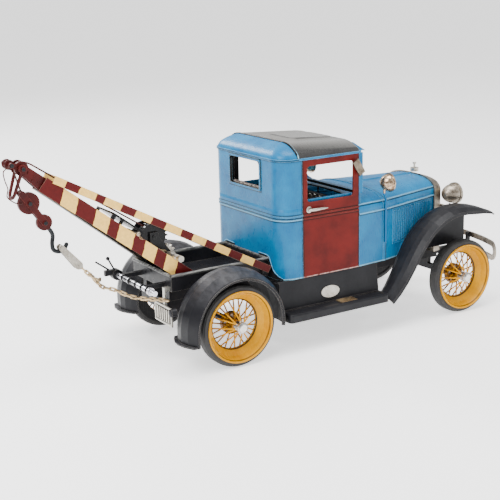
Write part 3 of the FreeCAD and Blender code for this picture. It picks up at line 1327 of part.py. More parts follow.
# Chain sling: two runs of links from the link plate, one to each side of the tail.
longRunShares = ((0, 0, 0), (0.15, 0.04, 0.3), (0.25, 0.07, 0.52), (0.37, 0.02, 0.74),
                 (0.48, 0.07, 0.81), (0.67, 0.27, 0.98), (0.85, 0.58, 1), (1, 1, 0.94))
shortRunShares = ((0.15, 0.04, 0.3), (0.28, -0.2, 0.48), (0.45, -0.44, 0.74),
                  (0.59, -0.62, 0.81))
links = []
spacing = float(s.chainPitch + s.runGap)
firstLink = float(s.chainPitch / 2 - s.linkPin - s.runGap)
for runShares, start in ((longRunShares, firstLink), (shortRunShares, spacing / 2)):
    run = [linkFoot + point(s.chainRun * a, -s.chainAcross * b, -s.chainFall * c)
           for a, b, c in runShares]
    line = Part.BSplineCurve()
    line.interpolate(run)
    count = int(line.length() / spacing)
    for i in range(count):
        u = line.parameterAtDistance(start + spacing * i, line.FirstParameter)
        along = line.tangent(u)[0]
        side = along.cross(Vector(0, 0, 1)).normalize()
        flat = side if i % 2 == 0 else side.cross(along)
        links.append(chainLink(line.value(u), along, flat))
shapeNode("chain_sling", links[0].fuse(links[1:]))

# Tow bar across the tail, with a collar inside each bare end.
collarIn = barHalf - s.barStub - s.collarWide
bar = [cylinder(s.barRadius, 2 * barHalf, point(-s.barX, -barHalf, s.barZ), alongY)]
for way in sides.values():
    y = collarIn if way > 0 else -collarIn - s.collarWide
    bar.append(cylinder(s.collarRadius, s.collarWide, point(-s.barX, y, s.barZ), alongY))
keep("tow_bar", fuse(bar))
arms = []
for way in sides.values():
    y = frameHalf - s.barArm if way > 0 else -frameHalf
    arms.append(block(s.barX - s.barRadius - s.bedRearX, s.barArm, s.barArm,
                      point(s.barRadius - s.barX, y, s.barZ - s.barArm / 2)))
keep("tow_brackets", group(arms))

# Clamp on the bar: a split ring with a lug and two turning levers.
clampFar = s.clampY + s.clampLong
clamp = [cylinder(s.clampRadius, s.clampLong, point(-s.barX, s.clampY, s.barZ), alongY),
         block(s.clampDeep, s.clampLong / 2, s.clampRadius,
               point(-s.barX - s.clampDeep, s.clampY + s.clampLong / 4, s.barZ))]
for long, angle, y in ((s.leverLong, s.leverAngle, clampFar - s.leverRadius * 2),
                       (s.knobLong, s.knobAngle, s.clampY + s.leverRadius * 2)):
    lean = math.radians(float(angle))
    away = point(-math.cos(lean), 0, math.sin(lean))
    start = point(-s.barX, y, s.barZ) + away * float(s.barRadius * 3 / 2)
    end = point(-s.barX, y, s.barZ) + away * float(long)
    clamp.append(rodBetween(s.leverRadius, start, end))
clamp.append(ball(s.leverKnob, end))
bore = cylinder(s.barRadius + s.runGap, s.clampLong * 2,
                point(-s.barX, s.clampY - s.clampLong / 2, s.barZ), alongY)
keep("tow_clamp", cut(fuse(clamp), bore))

# Rod with a ball knob lying across the right leg, below the tie plate.
rodAt = onLeg(s.tieRodAt, 1, s.tieRodRadius)
rodAt = point(rodAt.x, 0, rodAt.z)
keep("tie_rod", fuse([rodBetween(s.tieRodRadius, rodAt - point(0, s.tieRodIn, 0),
                                 rodAt - point(0, s.tieRodOut, 0)),
                      ball(s.tieRodKnob, rodAt - point(0, s.tieRodOut, 0))]))


def gear(teeth, pitch, phase, where, thick):
    # A spur wheel of straight-sided teeth; the phase puts one tooth at that angle.
    step = 2 * math.pi / teeth
    low, high = float(pitch - s.toothSink), float(pitch + s.toothRise)
    rim = []
    for i in range(teeth):
        middle = phase + step * i
        rootHalf = step * float(s.toothRootShare) / 2
        tipHalf = step * float(s.toothTipShare) / 2
        for radius, offset in ((low, -rootHalf), (high, -tipHalf), (high, tipHalf),
                               (low, rootHalf)):
            rim.append(where + point(radius * math.cos(middle + offset), 0,
                                     radius * math.sin(middle + offset)))
    return piece(Part.Face(Part.makePolygon(rim + [rim[0]])).extrude(point(0, thick, 0)))


# Winch: a flanged drum with its gear, and a cross shaft whose pinion drives it.
winchAt = point(-s.winchX, 0, s.winchZ)
crankAt = point(-crankX, 0, crankZ)
gearY = point(0, -s.drumHalf - s.fitGap - s.gearThick, 0)
shaftHalf = winchInnerY + s.cheekThick + s.fitGap * 3
drum = [cylinder(s.drumCoreRadius, 2 * s.drumHalf, winchAt - point(0, s.drumHalf, 0), alongY),
        cylinder(s.shaftRadius, 2 * shaftHalf, winchAt - point(0, shaftHalf, 0), alongY),
        gear(int(s.gearTeeth), s.gearPitch, -meshAngle, winchAt + gearY, s.gearThick)]
for y in (-s.drumHalf, s.drumHalf - s.flangeThick):
    drum.append(cylinder(s.flangeRadius, s.flangeThick, winchAt + point(0, y, 0), alongY))
keep("winch_drum", fuse(drum))
halfTooth = math.pi / float(s.pinionTeeth)
crank = [cylinder(s.shaftRadius, s.crankOutY + s.crankInnerY,
                  crankAt - point(0, s.crankOutY, 0), alongY),
         cylinder(s.crankKnob, s.crankKnobLong, crankAt - point(0, s.crankOutY, 0), alongY),
         gear(int(s.pinionTeeth), s.pinionPitch, math.pi - meshAngle + halfTooth,
              crankAt + gearY, s.gearThick)]
keep("winch_crank", fuse(crank))
body = newBody("winch_frame")
reach = s.cheekWidth / 2
foot = s.bedRearX - s.bedWall - s.fitGap
for way in sides.values():
    sk = sketch(body, "XZ_Plane", way * winchInnerY)
    polygon(sk, [(-foot, bedFloorZ), (s.cheekFoot - foot, bedFloorZ), (reach - crankX, crankZ),
                 (reach - s.winchX, s.winchZ), (reach - s.winchX, s.winchZ + reach),
                 (-s.winchX - reach, s.winchZ + reach),
                 (-s.winchX - reach, s.winchZ - s.cheekWidth), (-foot, s.bedTop + s.railRadius)])
    circle(sk, -s.winchX, s.winchZ, s.shaftRadius + s.runGap)
    circle(sk, -crankX, crankZ, s.shaftRadius + s.runGap)
    pad(body, sk, s.cheekThick, reverse=(way < 0))
sk = sketch(body, "XZ_Plane")
rect(sk, -foot, s.cheekFoot - foot, bedFloorZ, bedFloorZ + s.cheekThick)
pad(body, sk, 2 * winchInnerY + s.cheekThick, midplane=True)
keep("winch_frame", body)

# Headlamps: bullet shells with a rim ring and a bulged lens, on a bar between the fenders.
bulletShare = 0.8
lensShare = 0.92
lamps = []
lampFlat = lampX + s.lampLength * bulletShare
for way in sides.values():
    at = point(lampFlat, way * lampY, s.lampZ)
    front = at + point(s.lampRim, 0, 0)
    lamps.append(fuse([dome(s.lampLength * bulletShare, s.lampRadius * lensShare, at, alongX),
                       cylinder(s.lampRadius, s.lampRim, at, alongX),
                       dome(s.lensBulge, s.lampRadius * lensShare, front, alongX, False)]))
keep("headlights", group(lamps))
barZ = s.lampZ - s.lampBarDrop
postX = lampX + s.lampLength / 2
lampBar = Part.makeCylinder(float(s.lampBarRadius), float(2 * frontInnerY),
                            point(postX, -frontInnerY, barZ), Vector(0, 1, 0))
posts = []
for way in sides.values():
    posts.append(Part.makeCylinder(float(s.stemRadius),
                                   float(s.lampBarDrop - s.lampRadius * lensShare),
                                   point(postX, way * lampY, barZ)))
shapeNode("headlight_bar", lampBar.fuse(posts))

# Cowl lamps: smaller bullets on bent stems that run down the seam band.
cowlLamps = []
seamOut = cowlHalf + s.beadRadius + s.stemRadius + s.runGap
for way in sides.values():
    y = way * (s.cabHalf + s.cowlLampOut)
    at = point(s.cowlLampX + s.cowlLampLength / 2, y, s.cowlLampZ)
    front = at + point(s.lampRim / 2, 0, 0)
    stem = [point(s.cowlLampX, y, s.cowlLampZ - s.cowlLampRadius / 2),
            point(s.cowlLampX, y, s.cowlLampZ - s.cowlLampRadius * 5 / 4),
            point(seamX - s.bandWide / 2, way * seamOut, s.hoodShoulder + s.cowlLampRadius),
            point(seamX - s.bandWide / 2, way * seamOut, s.louvreBottom + s.panelBorder)]
    cowlLamps.append(fuse([
        dome(s.cowlLampLength * bulletShare, s.cowlLampRadius * lensShare, at, alongX),
        cylinder(s.cowlLampRadius, s.lampRim / 2, at, alongX),
        dome(s.lensBulge / 2, s.cowlLampRadius * lensShare, front, alongX, False),
        piece(bentRod(stem, s.stemRadius))]))
keep("cowl_lamps", group(cowlLamps))

# Front bumper: one bowed strip whose upper and lower blades close in round ends.
bumperHalf = s.cabHalf + s.bumperReach
bowRadius = (bumperHalf * bumperHalf + s.bumperBow * s.bumperBow) / (2 * s.bumperBow)


def stadium(half, radius):
    # A long round-ended block across the truck, deeper than the bow.
    x = bumperX - s.bumperBow - s.cutOver * 2
    deep = float(s.bumperBow + s.cutOver * 4)
    solid = Part.makeBox(deep, float(2 * half), float(2 * radius),
                         point(x, -half, s.bumperZ - radius))
    ends = [Part.makeCylinder(float(radius), deep, point(x, way * half, s.bumperZ),
                              Vector(1, 0, 0)) for way in sides.values()]
    return solid.fuse(ends).removeSplitter()


outerRound = (s.bumperApart + s.bumperBar) / 2
innerRound = (s.bumperApart - s.bumperBar) / 2
loopHalf = bumperHalf - outerRound
bowTall = float(s.bumperZ * 2)
bowAt = point(bumperX - bowRadius, 0, 0)
bow = Part.makeCylinder(float(bowRadius), bowTall, bowAt)
bowIn = Part.makeCylinder(float(bowRadius - s.bumperThick), bowTall, bowAt)
strip = bow.common(stadium(loopHalf, outerRound)).cut(stadium(loopHalf, innerRound))
shapeNode("front_bumper", strip.cut(bowIn))
irons = []
for way in sides.values():
    y = frameHalf - s.ironWidth if way > 0 else -frameHalf
    iron = Part.makeBox(float(bumperX - frameNose), float(s.ironWidth), float(s.ironDepth),
                        point(frameNose, y, s.bumperZ - s.ironDepth))
    strap = Part.makeBox(float(s.ironWidth * 2), float(s.ironWidth), float(2 * outerRound),
                         point(bumperX - s.ironWidth * 2, y, s.bumperZ - outerRound))
    irons.append(piece(iron.fuse(strap).common(bowIn).removeSplitter()))
keep("bumper_irons", group(irons))

# Bare tag plate below the bed, and the lamp on an arm beside it.
tagX = s.fenderRadius + 2 * s.fitGap
body = newBody("tag_plate")
sk = sketch(body, "YZ_Plane", -tagX - s.tagThick)
rect(sk, -s.tagY - s.tagWide / 2, s.tagWide / 2 - s.tagY, s.tagZ - s.tagTall / 2,
     s.tagZ + s.tagTall / 2)
pad(body, sk, s.tagThick)
sk = sketch(body, "YZ_Plane", -tagX - s.tagThick)
rim = s.tagThick
rect(sk, rim - s.tagY - s.tagWide / 2, s.tagWide / 2 - s.tagY - rim,
     rim + s.tagZ - s.tagTall / 2, s.tagZ + s.tagTall / 2 - rim)
pocket(body, sk, s.tagThick / 2, reverse=True)
sk = sketch(body, "YZ_Plane", -tagX)
rect(sk, -s.tagY - s.barArm / 2, s.barArm / 2 - s.tagY, s.tagZ, s.barZ)
pad(body, sk, s.tagThick)
sk = sketch(body, "YZ_Plane", s.tagThick - tagX)
rect(sk, -s.tagY - s.barArm / 2, s.barArm / 2 - s.tagY, s.barZ - s.barArm, s.barZ)
pad(body, sk, tagX - s.tagThick - s.bedRearX)
keep("tag_plate", body)
tailX = tagX + s.tagThick
tailAt = point(-tailX, -s.tailLampY, s.tailLampZ)
keep("tail_lamp", fuse([
    cylinder(s.tailLampRadius, s.tailLampLong, tailAt - point(s.tailLampLong, 0, 0), alongX),
    dome(s.lensBulge / 2, s.tailLampRadius * lensShare, tailAt - point(s.tailLampLong, 0, 0),
         alongX),
    block(s.tagThick, s.tailLampY - s.tagY - s.tagWide / 2, s.tagThick,
          point(-tailX, -s.tailLampY, s.tailLampZ - s.tagThick))]))

# Seat bench with a leaning back.
seatRear = s.cabRearX + 3 * s.cabWall
seatHalf = s.cabHalf - s.seatIn
body = newBody("seat")
sk = sketch(body, "XZ_Plane")
polygon(sk, [(seatRear, floorZ + s.floorThick), (s.seatFront, floorZ + s.floorThick),
             (s.seatFront, s.seatZ), (seatRear + s.backThick, s.seatZ - s.seatRound),
             (seatRear + s.backThick / 2, s.backTop), (seatRear, s.backTop)])
pad(body, sk, 2 * seatHalf, midplane=True)
soften(body, s.seatRound, lambda edge: abs(edge.CenterOfMass.x - float(s.seatFront))
       < float(s.runGap) and abs(edge.CenterOfMass.z - float(s.seatZ)) < float(s.runGap))
keep("seat", body)

# Steering wheel on its raked column.
rake = math.radians(float(s.steerRakeAngle))
axis = Vector(-math.sin(rake), 0, math.cos(rake))
centre = point(s.steerX, s.steerY, s.steerZ)
ringShape = Part.makeTorus(float(s.wheelRingRadius), float(s.wheelRingWire), centre, axis)
cross = Vector(0, 1, 0)
armShare = 0.8
spokes = []
for arm in (cross, axis.cross(cross)):
    reach = float(s.wheelRingRadius)
    spokes.append(Part.makeCylinder(float(s.wheelRingWire) * armShare, 2 * reach,
                                    centre - arm * reach, arm))
floorRun = float(s.steerZ - floorZ - s.floorThick - s.columnRadius) / axis.z
column = Part.makeCylinder(float(s.columnRadius), floorRun, centre, axis * -1)
shapeNode("steering_wheel", ringShape.fuse(spokes + [column]))

doc.recompute()
for item in doc.Objects:
    if "Invalid" in item.State or "Error" in item.State:
        raise RuntimeError("failed: %s %s" % (item.Name, item.Label))
for label, thing in nodes.items():
    if thing.Shape.isNull() or not thing.Shape.isValid():
        raise RuntimeError("bad shape: " + label)
os.makedirs("parts", exist_ok=True)
whole = None
for label, thing in nodes.items():
    thing.Shape.exportStep("parts/%s.step" % label)
    b = thing.Shape.BoundBox
    whole = b if whole is None else whole.united(b)
    print("%-22s solids %d  x %7.1f %7.1f  y %6.1f %6.1f  z %6.1f %6.1f" % (
        label, len(thing.Shape.Solids), b.XMin, b.XMax, b.YMin, b.YMax, b.ZMin, b.ZMax))
print("whole x %.2f %.2f y %.2f %.2f z %.2f %.2f" % (
    whole.XMin, whole.XMax, whole.YMin, whole.YMax, whole.ZMin, whole.ZMax))
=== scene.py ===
import json
import math
from functools import reduce

import bmesh
import bpy
from mathutils import Matrix, Vector
from mathutils.bvhtree import BVHTree


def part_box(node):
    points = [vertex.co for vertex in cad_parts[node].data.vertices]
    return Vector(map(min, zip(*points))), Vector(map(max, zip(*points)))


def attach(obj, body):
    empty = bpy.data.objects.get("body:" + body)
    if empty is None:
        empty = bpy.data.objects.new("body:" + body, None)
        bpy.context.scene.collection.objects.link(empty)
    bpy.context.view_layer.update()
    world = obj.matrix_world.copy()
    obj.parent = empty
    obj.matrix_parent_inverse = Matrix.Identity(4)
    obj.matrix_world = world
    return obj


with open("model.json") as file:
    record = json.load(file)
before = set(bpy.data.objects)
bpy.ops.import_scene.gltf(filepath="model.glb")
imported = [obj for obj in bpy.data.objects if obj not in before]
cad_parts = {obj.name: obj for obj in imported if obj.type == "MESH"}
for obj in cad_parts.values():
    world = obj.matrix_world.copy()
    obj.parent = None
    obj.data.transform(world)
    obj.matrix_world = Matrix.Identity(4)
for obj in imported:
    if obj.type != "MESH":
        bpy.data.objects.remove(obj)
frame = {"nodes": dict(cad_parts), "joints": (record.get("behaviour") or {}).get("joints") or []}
nodes = frame["nodes"]
jointAt = {j["name"]: Vector(j["pos_m"]) for j in frame["joints"]}
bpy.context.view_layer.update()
mm = 0.001
originX = -jointAt["roll_rear_left"].x / mm


def axleX(x):
    # millimetres ahead of the rear axle, in the model's frame
    return (x - originX) * mm


def fromAxle(x, y, z):
    # a place measured from the rear axle, in the model's frame
    return Vector((axleX(x), y * mm, z * mm))


print("frame loaded:", len(nodes), "nodes")


# shader graphs

class Wire:
    # a socket that can be used in sums
    def __init__(self, finish, socket):
        self.finish = finish
        self.socket = socket

    def maths(self, operation, *values):
        return self.finish.add("ShaderNodeMath", {"operation": operation},
                               dict(enumerate(values)))

    def __add__(self, other):
        return self.maths("ADD", self, other)

    def __radd__(self, other):
        return self.maths("ADD", other, self)

    def __sub__(self, other):
        return self.maths("SUBTRACT", self, other)

    def __rsub__(self, other):
        return self.maths("SUBTRACT", other, self)

    def __mul__(self, other):
        return self.maths("MULTIPLY", self, other)

    def __truediv__(self, other):
        return self.maths("DIVIDE", self, other)

    def __pow__(self, other):
        return self.maths("POWER", self, other)

    def __gt__(self, other):
        return self.maths("GREATER_THAN", self, other)

    def __lt__(self, other):
        return self.maths("LESS_THAN", self, other)

    def __abs__(self):
        return self.maths("ABSOLUTE", self)

    def most(self, other):
        return self.maths("MAXIMUM", self, other)

    def fraction(self):
        return self.maths("FRACT", self)

    def sign(self):
        return self.maths("SIGN", self)


class Finish:
    # one material: its principled shader and everything that feeds it
    def __init__(self, title):
        self.material = bpy.data.materials.new(title)
        self.material.use_nodes = True
        self.tree = self.material.node_tree
        self.shader = self.tree.nodes["Principled BSDF"]

    def feed(self, socket, value):
        if isinstance(value, Wire):
            self.tree.links.new(value.socket, socket)
        else:
            socket.default_value = value

    def add(self, kind, settings=None, sockets=None, out=0):
        node = self.tree.nodes.new(kind)
        for key, value in (settings or {}).items():
            if key == "stops":
                ramp = node.color_ramp
                while len(ramp.elements) < len(value):
                    ramp.elements.new(0.5)
                for element, (place, shade) in zip(ramp.elements, value):
                    element.position = place
                    element.color = shade if len(shade) == 4 else (*shade, 1)
            elif key == "interpolation":
                node.color_ramp.interpolation = value
            else:
                setattr(node, key, value)
        for key, value in (sockets or {}).items():
            self.feed(node.inputs[key], value)
        return Wire(self, node.outputs[out])

    def set(self, **values):
        for key, value in values.items():
            self.feed(self.shader.inputs[key.replace("_", " ")], value)
        return self

    def fed(self, name):
        # what feeds an input of the shader so far
        return Wire(self, self.shader.inputs[name].links[0].from_socket)

    # common ingredients
    def place(self):
        return self.add("ShaderNodeTexCoord", out="Object")

    def axes(self, where=None):
        split = self.tree.nodes.new("ShaderNodeSeparateXYZ")
        self.feed(split.inputs[0], where or self.place())
        return [Wire(self, s) for s in split.outputs]

    def facing(self):
        return self.axes(self.add("ShaderNodeNewGeometry", out="Normal"))

    def dot(self, first, second):
        return self.add("ShaderNodeVectorMath", {"operation": "DOT_PRODUCT"},
                        {0: first, 1: second}, out="Value")

    def noise(self, scale, detail=4, rough=0.55, stretch=None, shift=0.0):
        where = self.place()
        if stretch or shift:
            where = self.add("ShaderNodeMapping", None,
                             {"Vector": where, "Scale": stretch or (1, 1, 1),
                              "Location": (shift, shift, shift)})
        return self.add("ShaderNodeTexNoise", None,
                        {"Vector": where, "Scale": scale, "Detail": detail,
                         "Roughness": rough})

    def ramp(self, value, low, high):
        return self.add("ShaderNodeMapRange", {"clamp": True},
                        {"Value": value, "From Min": low, "From Max": high})

    def line(self, value, level, half, solid):
        # 1 within a distance of a level, fading to 0 at its half width
        return self.ramp(abs(value - level), half, solid)

    def mix(self, amount, first, second):
        first, second = [(*c, 1) if isinstance(c, tuple) else c for c in (first, second)]
        return self.add("ShaderNodeMix", {"data_type": "RGBA"},
                        {0: amount, 6: first, 7: second}, out=2)

    def edge(self, radius):
        # how much the surface turns within a radius
        soft = self.add("ShaderNodeBevel", {"samples": 4}, {"Radius": radius})
        return 1 - self.dot(soft, self.add("ShaderNodeNewGeometry", out="Normal"))

    def corner(self, reach):
        # how far a place is shut in by what is near it
        return 1 - self.add("ShaderNodeAmbientOcclusion", {"samples": 4},
                            {"Distance": reach}, out="AO")

    def bump(self, height, strength, distance, over=None):
        sockets = {"Height": height, "Strength": strength, "Distance": distance}
        if over:
            sockets["Normal"] = over
        return self.add("ShaderNodeBump", None, sockets)


def linear(r, g, b):
    # screen colour out of 255 to a linear one
    return tuple(((c / 255 + 0.055) / 1.055) ** 2.4 if c > 10 else c / 255 / 12.92
                 for c in (r, g, b))


def radiusOf(across, up):
    # distance from an axis
    return (across * across + up * up) ** 0.5


paintSizes = {"edgeRadius": 0.7 * mm, "cornerReach": 4 * mm, "brushScale": 900,
              "cloudScale": 60, "speckScale": 1500, "grain": 0.25 * mm}
metalSizes = {"edgeRadius": 0.6 * mm, "cornerReach": 3 * mm, "cloudScale": 140,
              "speckScale": 1300, "grain": 0.2 * mm}


def agedPaint(title, tones, worn, shadeAndGrime=linear(28, 24, 20), rough=0.42, rub=0.5, shadeAndDirt=0.6,
              gloss=0.15, brush=0.3, specular=0.15):
    # brushed enamel on tin with painted shade in its corners, rubbed at its edges; tones is a
    # deep and a light colour, or a function that makes the colour
    f = Finish(title)
    cloud = f.noise(paintSizes["cloudScale"], 5, 0.6)
    brushed = f.noise(paintSizes["brushScale"], 3, 0.6, (1, 0.25, 0.25))
    if callable(tones):
        colour = tones(f)
    else:
        colour = f.mix(f.ramp(cloud * 0.8 + brushed * 0.2, 0.3, 0.72), *tones)
    speck = f.noise(paintSizes["speckScale"], 3, 0.6, shift=3.1)
    # painted shade: the colour darkens where the surface is shut in by what is near it
    corner = f.ramp(f.corner(paintSizes["cornerReach"]) + (cloud - 0.5) * 0.5, 0.42, 0.95)
    colour = f.mix(corner * shadeAndDirt, colour, shadeAndGrime)
    rubbed = f.ramp(f.edge(paintSizes["edgeRadius"]) * 3.4 + (speck - 0.5) * 1.1
                    + (cloud - 0.5) * 0.9, 0.42, 0.75)
    return f.set(Base_Color=f.mix(rubbed * rub, colour, worn),
                 Roughness=f.ramp(brushed + corner * 0.3, 0.1, 1.3) * 0.5 + rough - 0.2,
                 Normal=f.bump(brushed * 0.5 + speck * 0.3, brush, paintSizes["grain"]),
                 Specular_IOR_Level=specular, Coat_Weight=gloss, Coat_Roughness=0.2)


def agedMetal(title, bright, dull, rust, rough=0.28, age=0.5):
    # plated tin gone brown in the corners, with brighter rubbed edges
    f = Finish(title)
    cloud = f.noise(metalSizes["cloudScale"], 5, 0.65)
    speck = f.noise(metalSizes["speckScale"], 4, 0.65)
    colour = f.mix(f.ramp(cloud * 0.6 + speck * 0.4, 0.35, 0.66), dull, bright)
    corner = f.ramp(f.corner(metalSizes["cornerReach"]) + (speck - 0.5) * 0.7, 0.35, 0.9)
    colour = f.mix(corner * age, colour, rust)
    rubbed = f.ramp(f.edge(metalSizes["edgeRadius"]) * 3 + (speck - 0.5), 0.35, 0.8)
    return f.set(Base_Color=f.mix(rubbed * 0.6, colour, bright), Metallic=0.95 - corner * 0.5,
                 Roughness=rough + f.ramp(cloud, 0.3, 0.8) * 0.25 + corner * 0.25,
                 Normal=f.bump(speck, 0.25, metalSizes["grain"]))


def clouded(f, deep, light):
    # the cloudy ground under painted lines and dirt
    return f.mix(f.ramp(f.noise(paintSizes["cloudScale"], 5, 0.6), 0.3, 0.72), deep, light)


# blue sheet of the cab, roof and hood

# the dark blue tone is painted shade in creases and corners and the dark of joints; the near-black
# is painted shade on faces inside
blueLook = {"light": (0.001, 0.175, 0.37), "deep": (0.001, 0.10, 0.25),
            "worn": linear(150, 205, 225), "shadeAndGrime": linear(8, 20, 28),
            "inside": (0.01, 0.01, 0.011), "hem": (54.2, 53.6)}


def bluePaint(title, tones=None):
    return agedPaint(title, tones or (blueLook["deep"], blueLook["light"]), blueLook["worn"],
                     blueLook["shadeAndGrime"], rough=0.34, shadeAndDirt=0.85, gloss=0.07, brush=0.15)


def blueGround(f):
    return clouded(f, blueLook["deep"], blueLook["light"])


def rubbedHem(f, z):
    # the lower edge of the sheet, rubbed pale
    return f.ramp(z, blueLook["hem"][0] * mm, blueLook["hem"][1] * mm)


roofLook = {"split": 62.0, "gasket": 1.3, "gasketOver": 0.3, "gasketLow": 145.2, "rim": 0.9,
            "seam": 144.2, "seamHalf": 0.5, "paintedSheen": (0.17, 0.165, 0.155),
            "black": ((0.012, 0.012, 0.012), (0.026, 0.025, 0.024))}


def roofEdge(f):
    # blue, with the black gasket before the dark panel and a dark patchy line along the seam under
    # the cap
    x, _, z = f.axes()
    split, wide = axleX(roofLook["split"]), roofLook["gasket"] * mm
    gasket = f.ramp(x, split - wide, split - wide * 0.75) \
        * (x < split + roofLook["gasketOver"] * mm) * (z > roofLook["gasketLow"] * mm)
    half = roofLook["seamHalf"] * mm
    seam = f.line(z, roofLook["seam"] * mm, half, half * 0.4) * (x < split)
    seam = seam * f.ramp(f.noise(260, 4, 0.7), 0.32, 0.5)
    return f.mix(gasket.most(seam * 0.9), blueGround(f), linear(10, 14, 18))


def roofShade(f):
    # near-black panel with a painted sheen where it faces up, and a worn blue line along its rear
    # edge
    ground = f.mix(f.ramp(f.facing()[2], 0.84, 0.99), clouded(f, *roofLook["black"]),
                   roofLook["paintedSheen"])
    split, rim = axleX(roofLook["split"]), roofLook["rim"] * mm
    return f.mix(f.ramp(f.axes()[0], split + rim, split + rim * 0.6), ground, blueLook["worn"])


cabLook = {"belts": (97.7, 100.2, 102.7, 143.2), "beltHalf": 0.6, "bead": 98.9,
           "beadHalf": 0.5, "doorRear": 65.5, "doorGap": (1.3, 0.5), "wallEnd": 50.0,
           "glassHalf": 21.35, "glassLow": 119.65, "glassHigh": 141.15, "frameWide": 1.3,
           "frameLine": (1.2, 0.9), "cornerX": 59, "cornerY": 36.6, "inside": 12.1,
           "swell": (107.4, 105.2), "swellDeep": 0.9}


def shellShade(f):
    # blue with painted shade in the belt's creases and round the rear window's frame, a painted
    # highlight on the lower bead, dark patches by the doors and a rubbed hem; black painted shade
    # inside the cab and dark painted shade in the rear window's reveal
    x, y, z = f.axes()
    half = cabLook["beltHalf"] * mm
    # painted shade in the belt's creases
    creases = reduce(Wire.most, [f.line(z, level * mm, half, half * 0.3)
                                 for level in cabLook["belts"]])
    gapFrom, gapFull = [axleX(cabLook["doorRear"] - off) for off in cabLook["doorGap"]]
    patches = f.ramp(f.noise(150, 5, 0.65), 0.3, 0.55)
    shadeAndDirt = (creases * 0.85).most(f.ramp(x, gapFrom, gapFull) * patches * 0.9)
    # painted highlight along the lower bead
    bead = f.line(z, cabLook["bead"] * mm, cabLook["beadHalf"] * mm, 0)
    ground = f.mix(bead * 0.6, blueGround(f), blueLook["worn"])
    ground = f.mix(shadeAndDirt, ground, blueLook["shadeAndGrime"])
    low, high = cabLook["glassLow"] * mm, cabLook["glassHigh"] * mm
    outY = abs(y) - cabLook["glassHalf"] * mm
    out = outY.most(abs(z - (low + high) / 2) - (high - low) / 2)
    wide = cabLook["frameWide"]
    lineFrom, lineFull = [(wide + off) * mm for off in cabLook["frameLine"]]
    onWall = x < axleX(cabLook["wallEnd"])
    # painted shade in a line round the rear window's frame
    outline = f.ramp(out, lineFrom, lineFull) * (out > wide * mm) * onWall
    ground = f.mix(outline * 0.9, ground, blueLook["shadeAndGrime"])
    ground = f.mix(rubbedHem(f, z) * patches, ground, blueLook["worn"])
    inX = (axleX(cabLook["cornerX"]) - x).most(0.0)
    inY = (abs(y) - cabLook["cornerY"] * mm).most(0.0)
    # black painted shade inside the cab
    ground = f.mix(radiusOf(inX, inY) < cabLook["inside"] * mm, ground, blueLook["inside"])
    # dark painted shade in the rear window's reveal
    reveal = (outY < 0.0) * (z > low) * (z < high) * onWall
    return f.mix(reveal, ground, linear(30, 28, 26))


def shellBlue():
    # the sheet swells a little below the belt
    f = bluePaint("shellBlue", shellShade)
    start, full = cabLook["swell"]
    swell = f.ramp(f.axes()[2], start * mm, full * mm)
    return f.set(Normal=f.bump(swell, 1, cabLook["swellDeep"] * mm, f.fed("Normal")))


frontLook = {"cowlEnd": 148.0, "jointHalf": 0.9, "dashEnd": 135.0, "beads": (95.2, 102.4),
             "beadHalf": 0.6, "beadRise": 0.1, "lineOff": 1.1, "louvres": 158.8,
             "pitch": 2.495, "slots": 19, "slotLow": 66.5, "slotHigh": 92.0}


def frontShade(f):
    # blue with painted shadow under the long beads and a painted highlight on them, painted shade
    # in the louvres, a dark joint of cowl and hood and a rubbed hem; black painted shade on faces
    # turned back
    x, _, z = f.axes()
    half = frontLook["beadHalf"] * mm
    dark = f.line(x, axleX(frontLook["cowlEnd"]), frontLook["jointHalf"] * mm, 0.4 * mm)
    bright = rubbedHem(f, z)
    # painted shadow under each long bead and a painted highlight along its top
    for level in frontLook["beads"]:
        dark = dark.most(f.line(z, (level - frontLook["lineOff"]) * mm, half, half * 0.3) * 0.9)
        bright = bright.most(f.line(z, (level + frontLook["beadRise"]) * mm, half, 0.1 * mm))
    start, pitch = axleX(frontLook["louvres"]), frontLook["pitch"] * mm
    # painted shade in the louvre slots
    slot = f.ramp(abs(((x - start) / pitch).fraction() - 0.5), 0.24, 0.1) \
        * (z > frontLook["slotLow"] * mm) * (z < frontLook["slotHigh"] * mm) \
        * (x > start) * (x < start + frontLook["slots"] * pitch)
    ground = f.mix(bright * 0.55, blueGround(f), blueLook["worn"])
    ground = f.mix(dark.most(slot * 0.8), ground, blueLook["shadeAndGrime"])
    # black painted shade on faces turned back under the windscreen
    back = (f.facing()[0] < -0.5) * (x < axleX(frontLook["dashEnd"]))
    return f.mix(back, ground, blueLook["inside"])


screenLook = {"half": 47, "top": 141}


def screenShade(f):
    # the windscreen's frame is blue in front, with black painted shade on the faces behind
    _, y, z = f.axes()
    back = (f.facing()[0] < -0.4) * (abs(y) < screenLook["half"] * mm) \
        * (z < screenLook["top"] * mm)
    return f.mix(back, blueGround(f), blueLook["inside"])


# the near-black red is painted shade in the creases and the dark of the joints
doorLook = {"maroon": ((0.07, 0.005, 0.004), (0.15, 0.010, 0.008)),
            "shadeAndDirt": (0.010, 0.003, 0.003), "rubbed": linear(206, 170, 160),
            "creases": (97.7, 100.2, 102.7), "crease": (0.55, 0.2), "joint": (1.0, 0.4),
            "hem": (0.9, 0.5), "inside": 48.4}


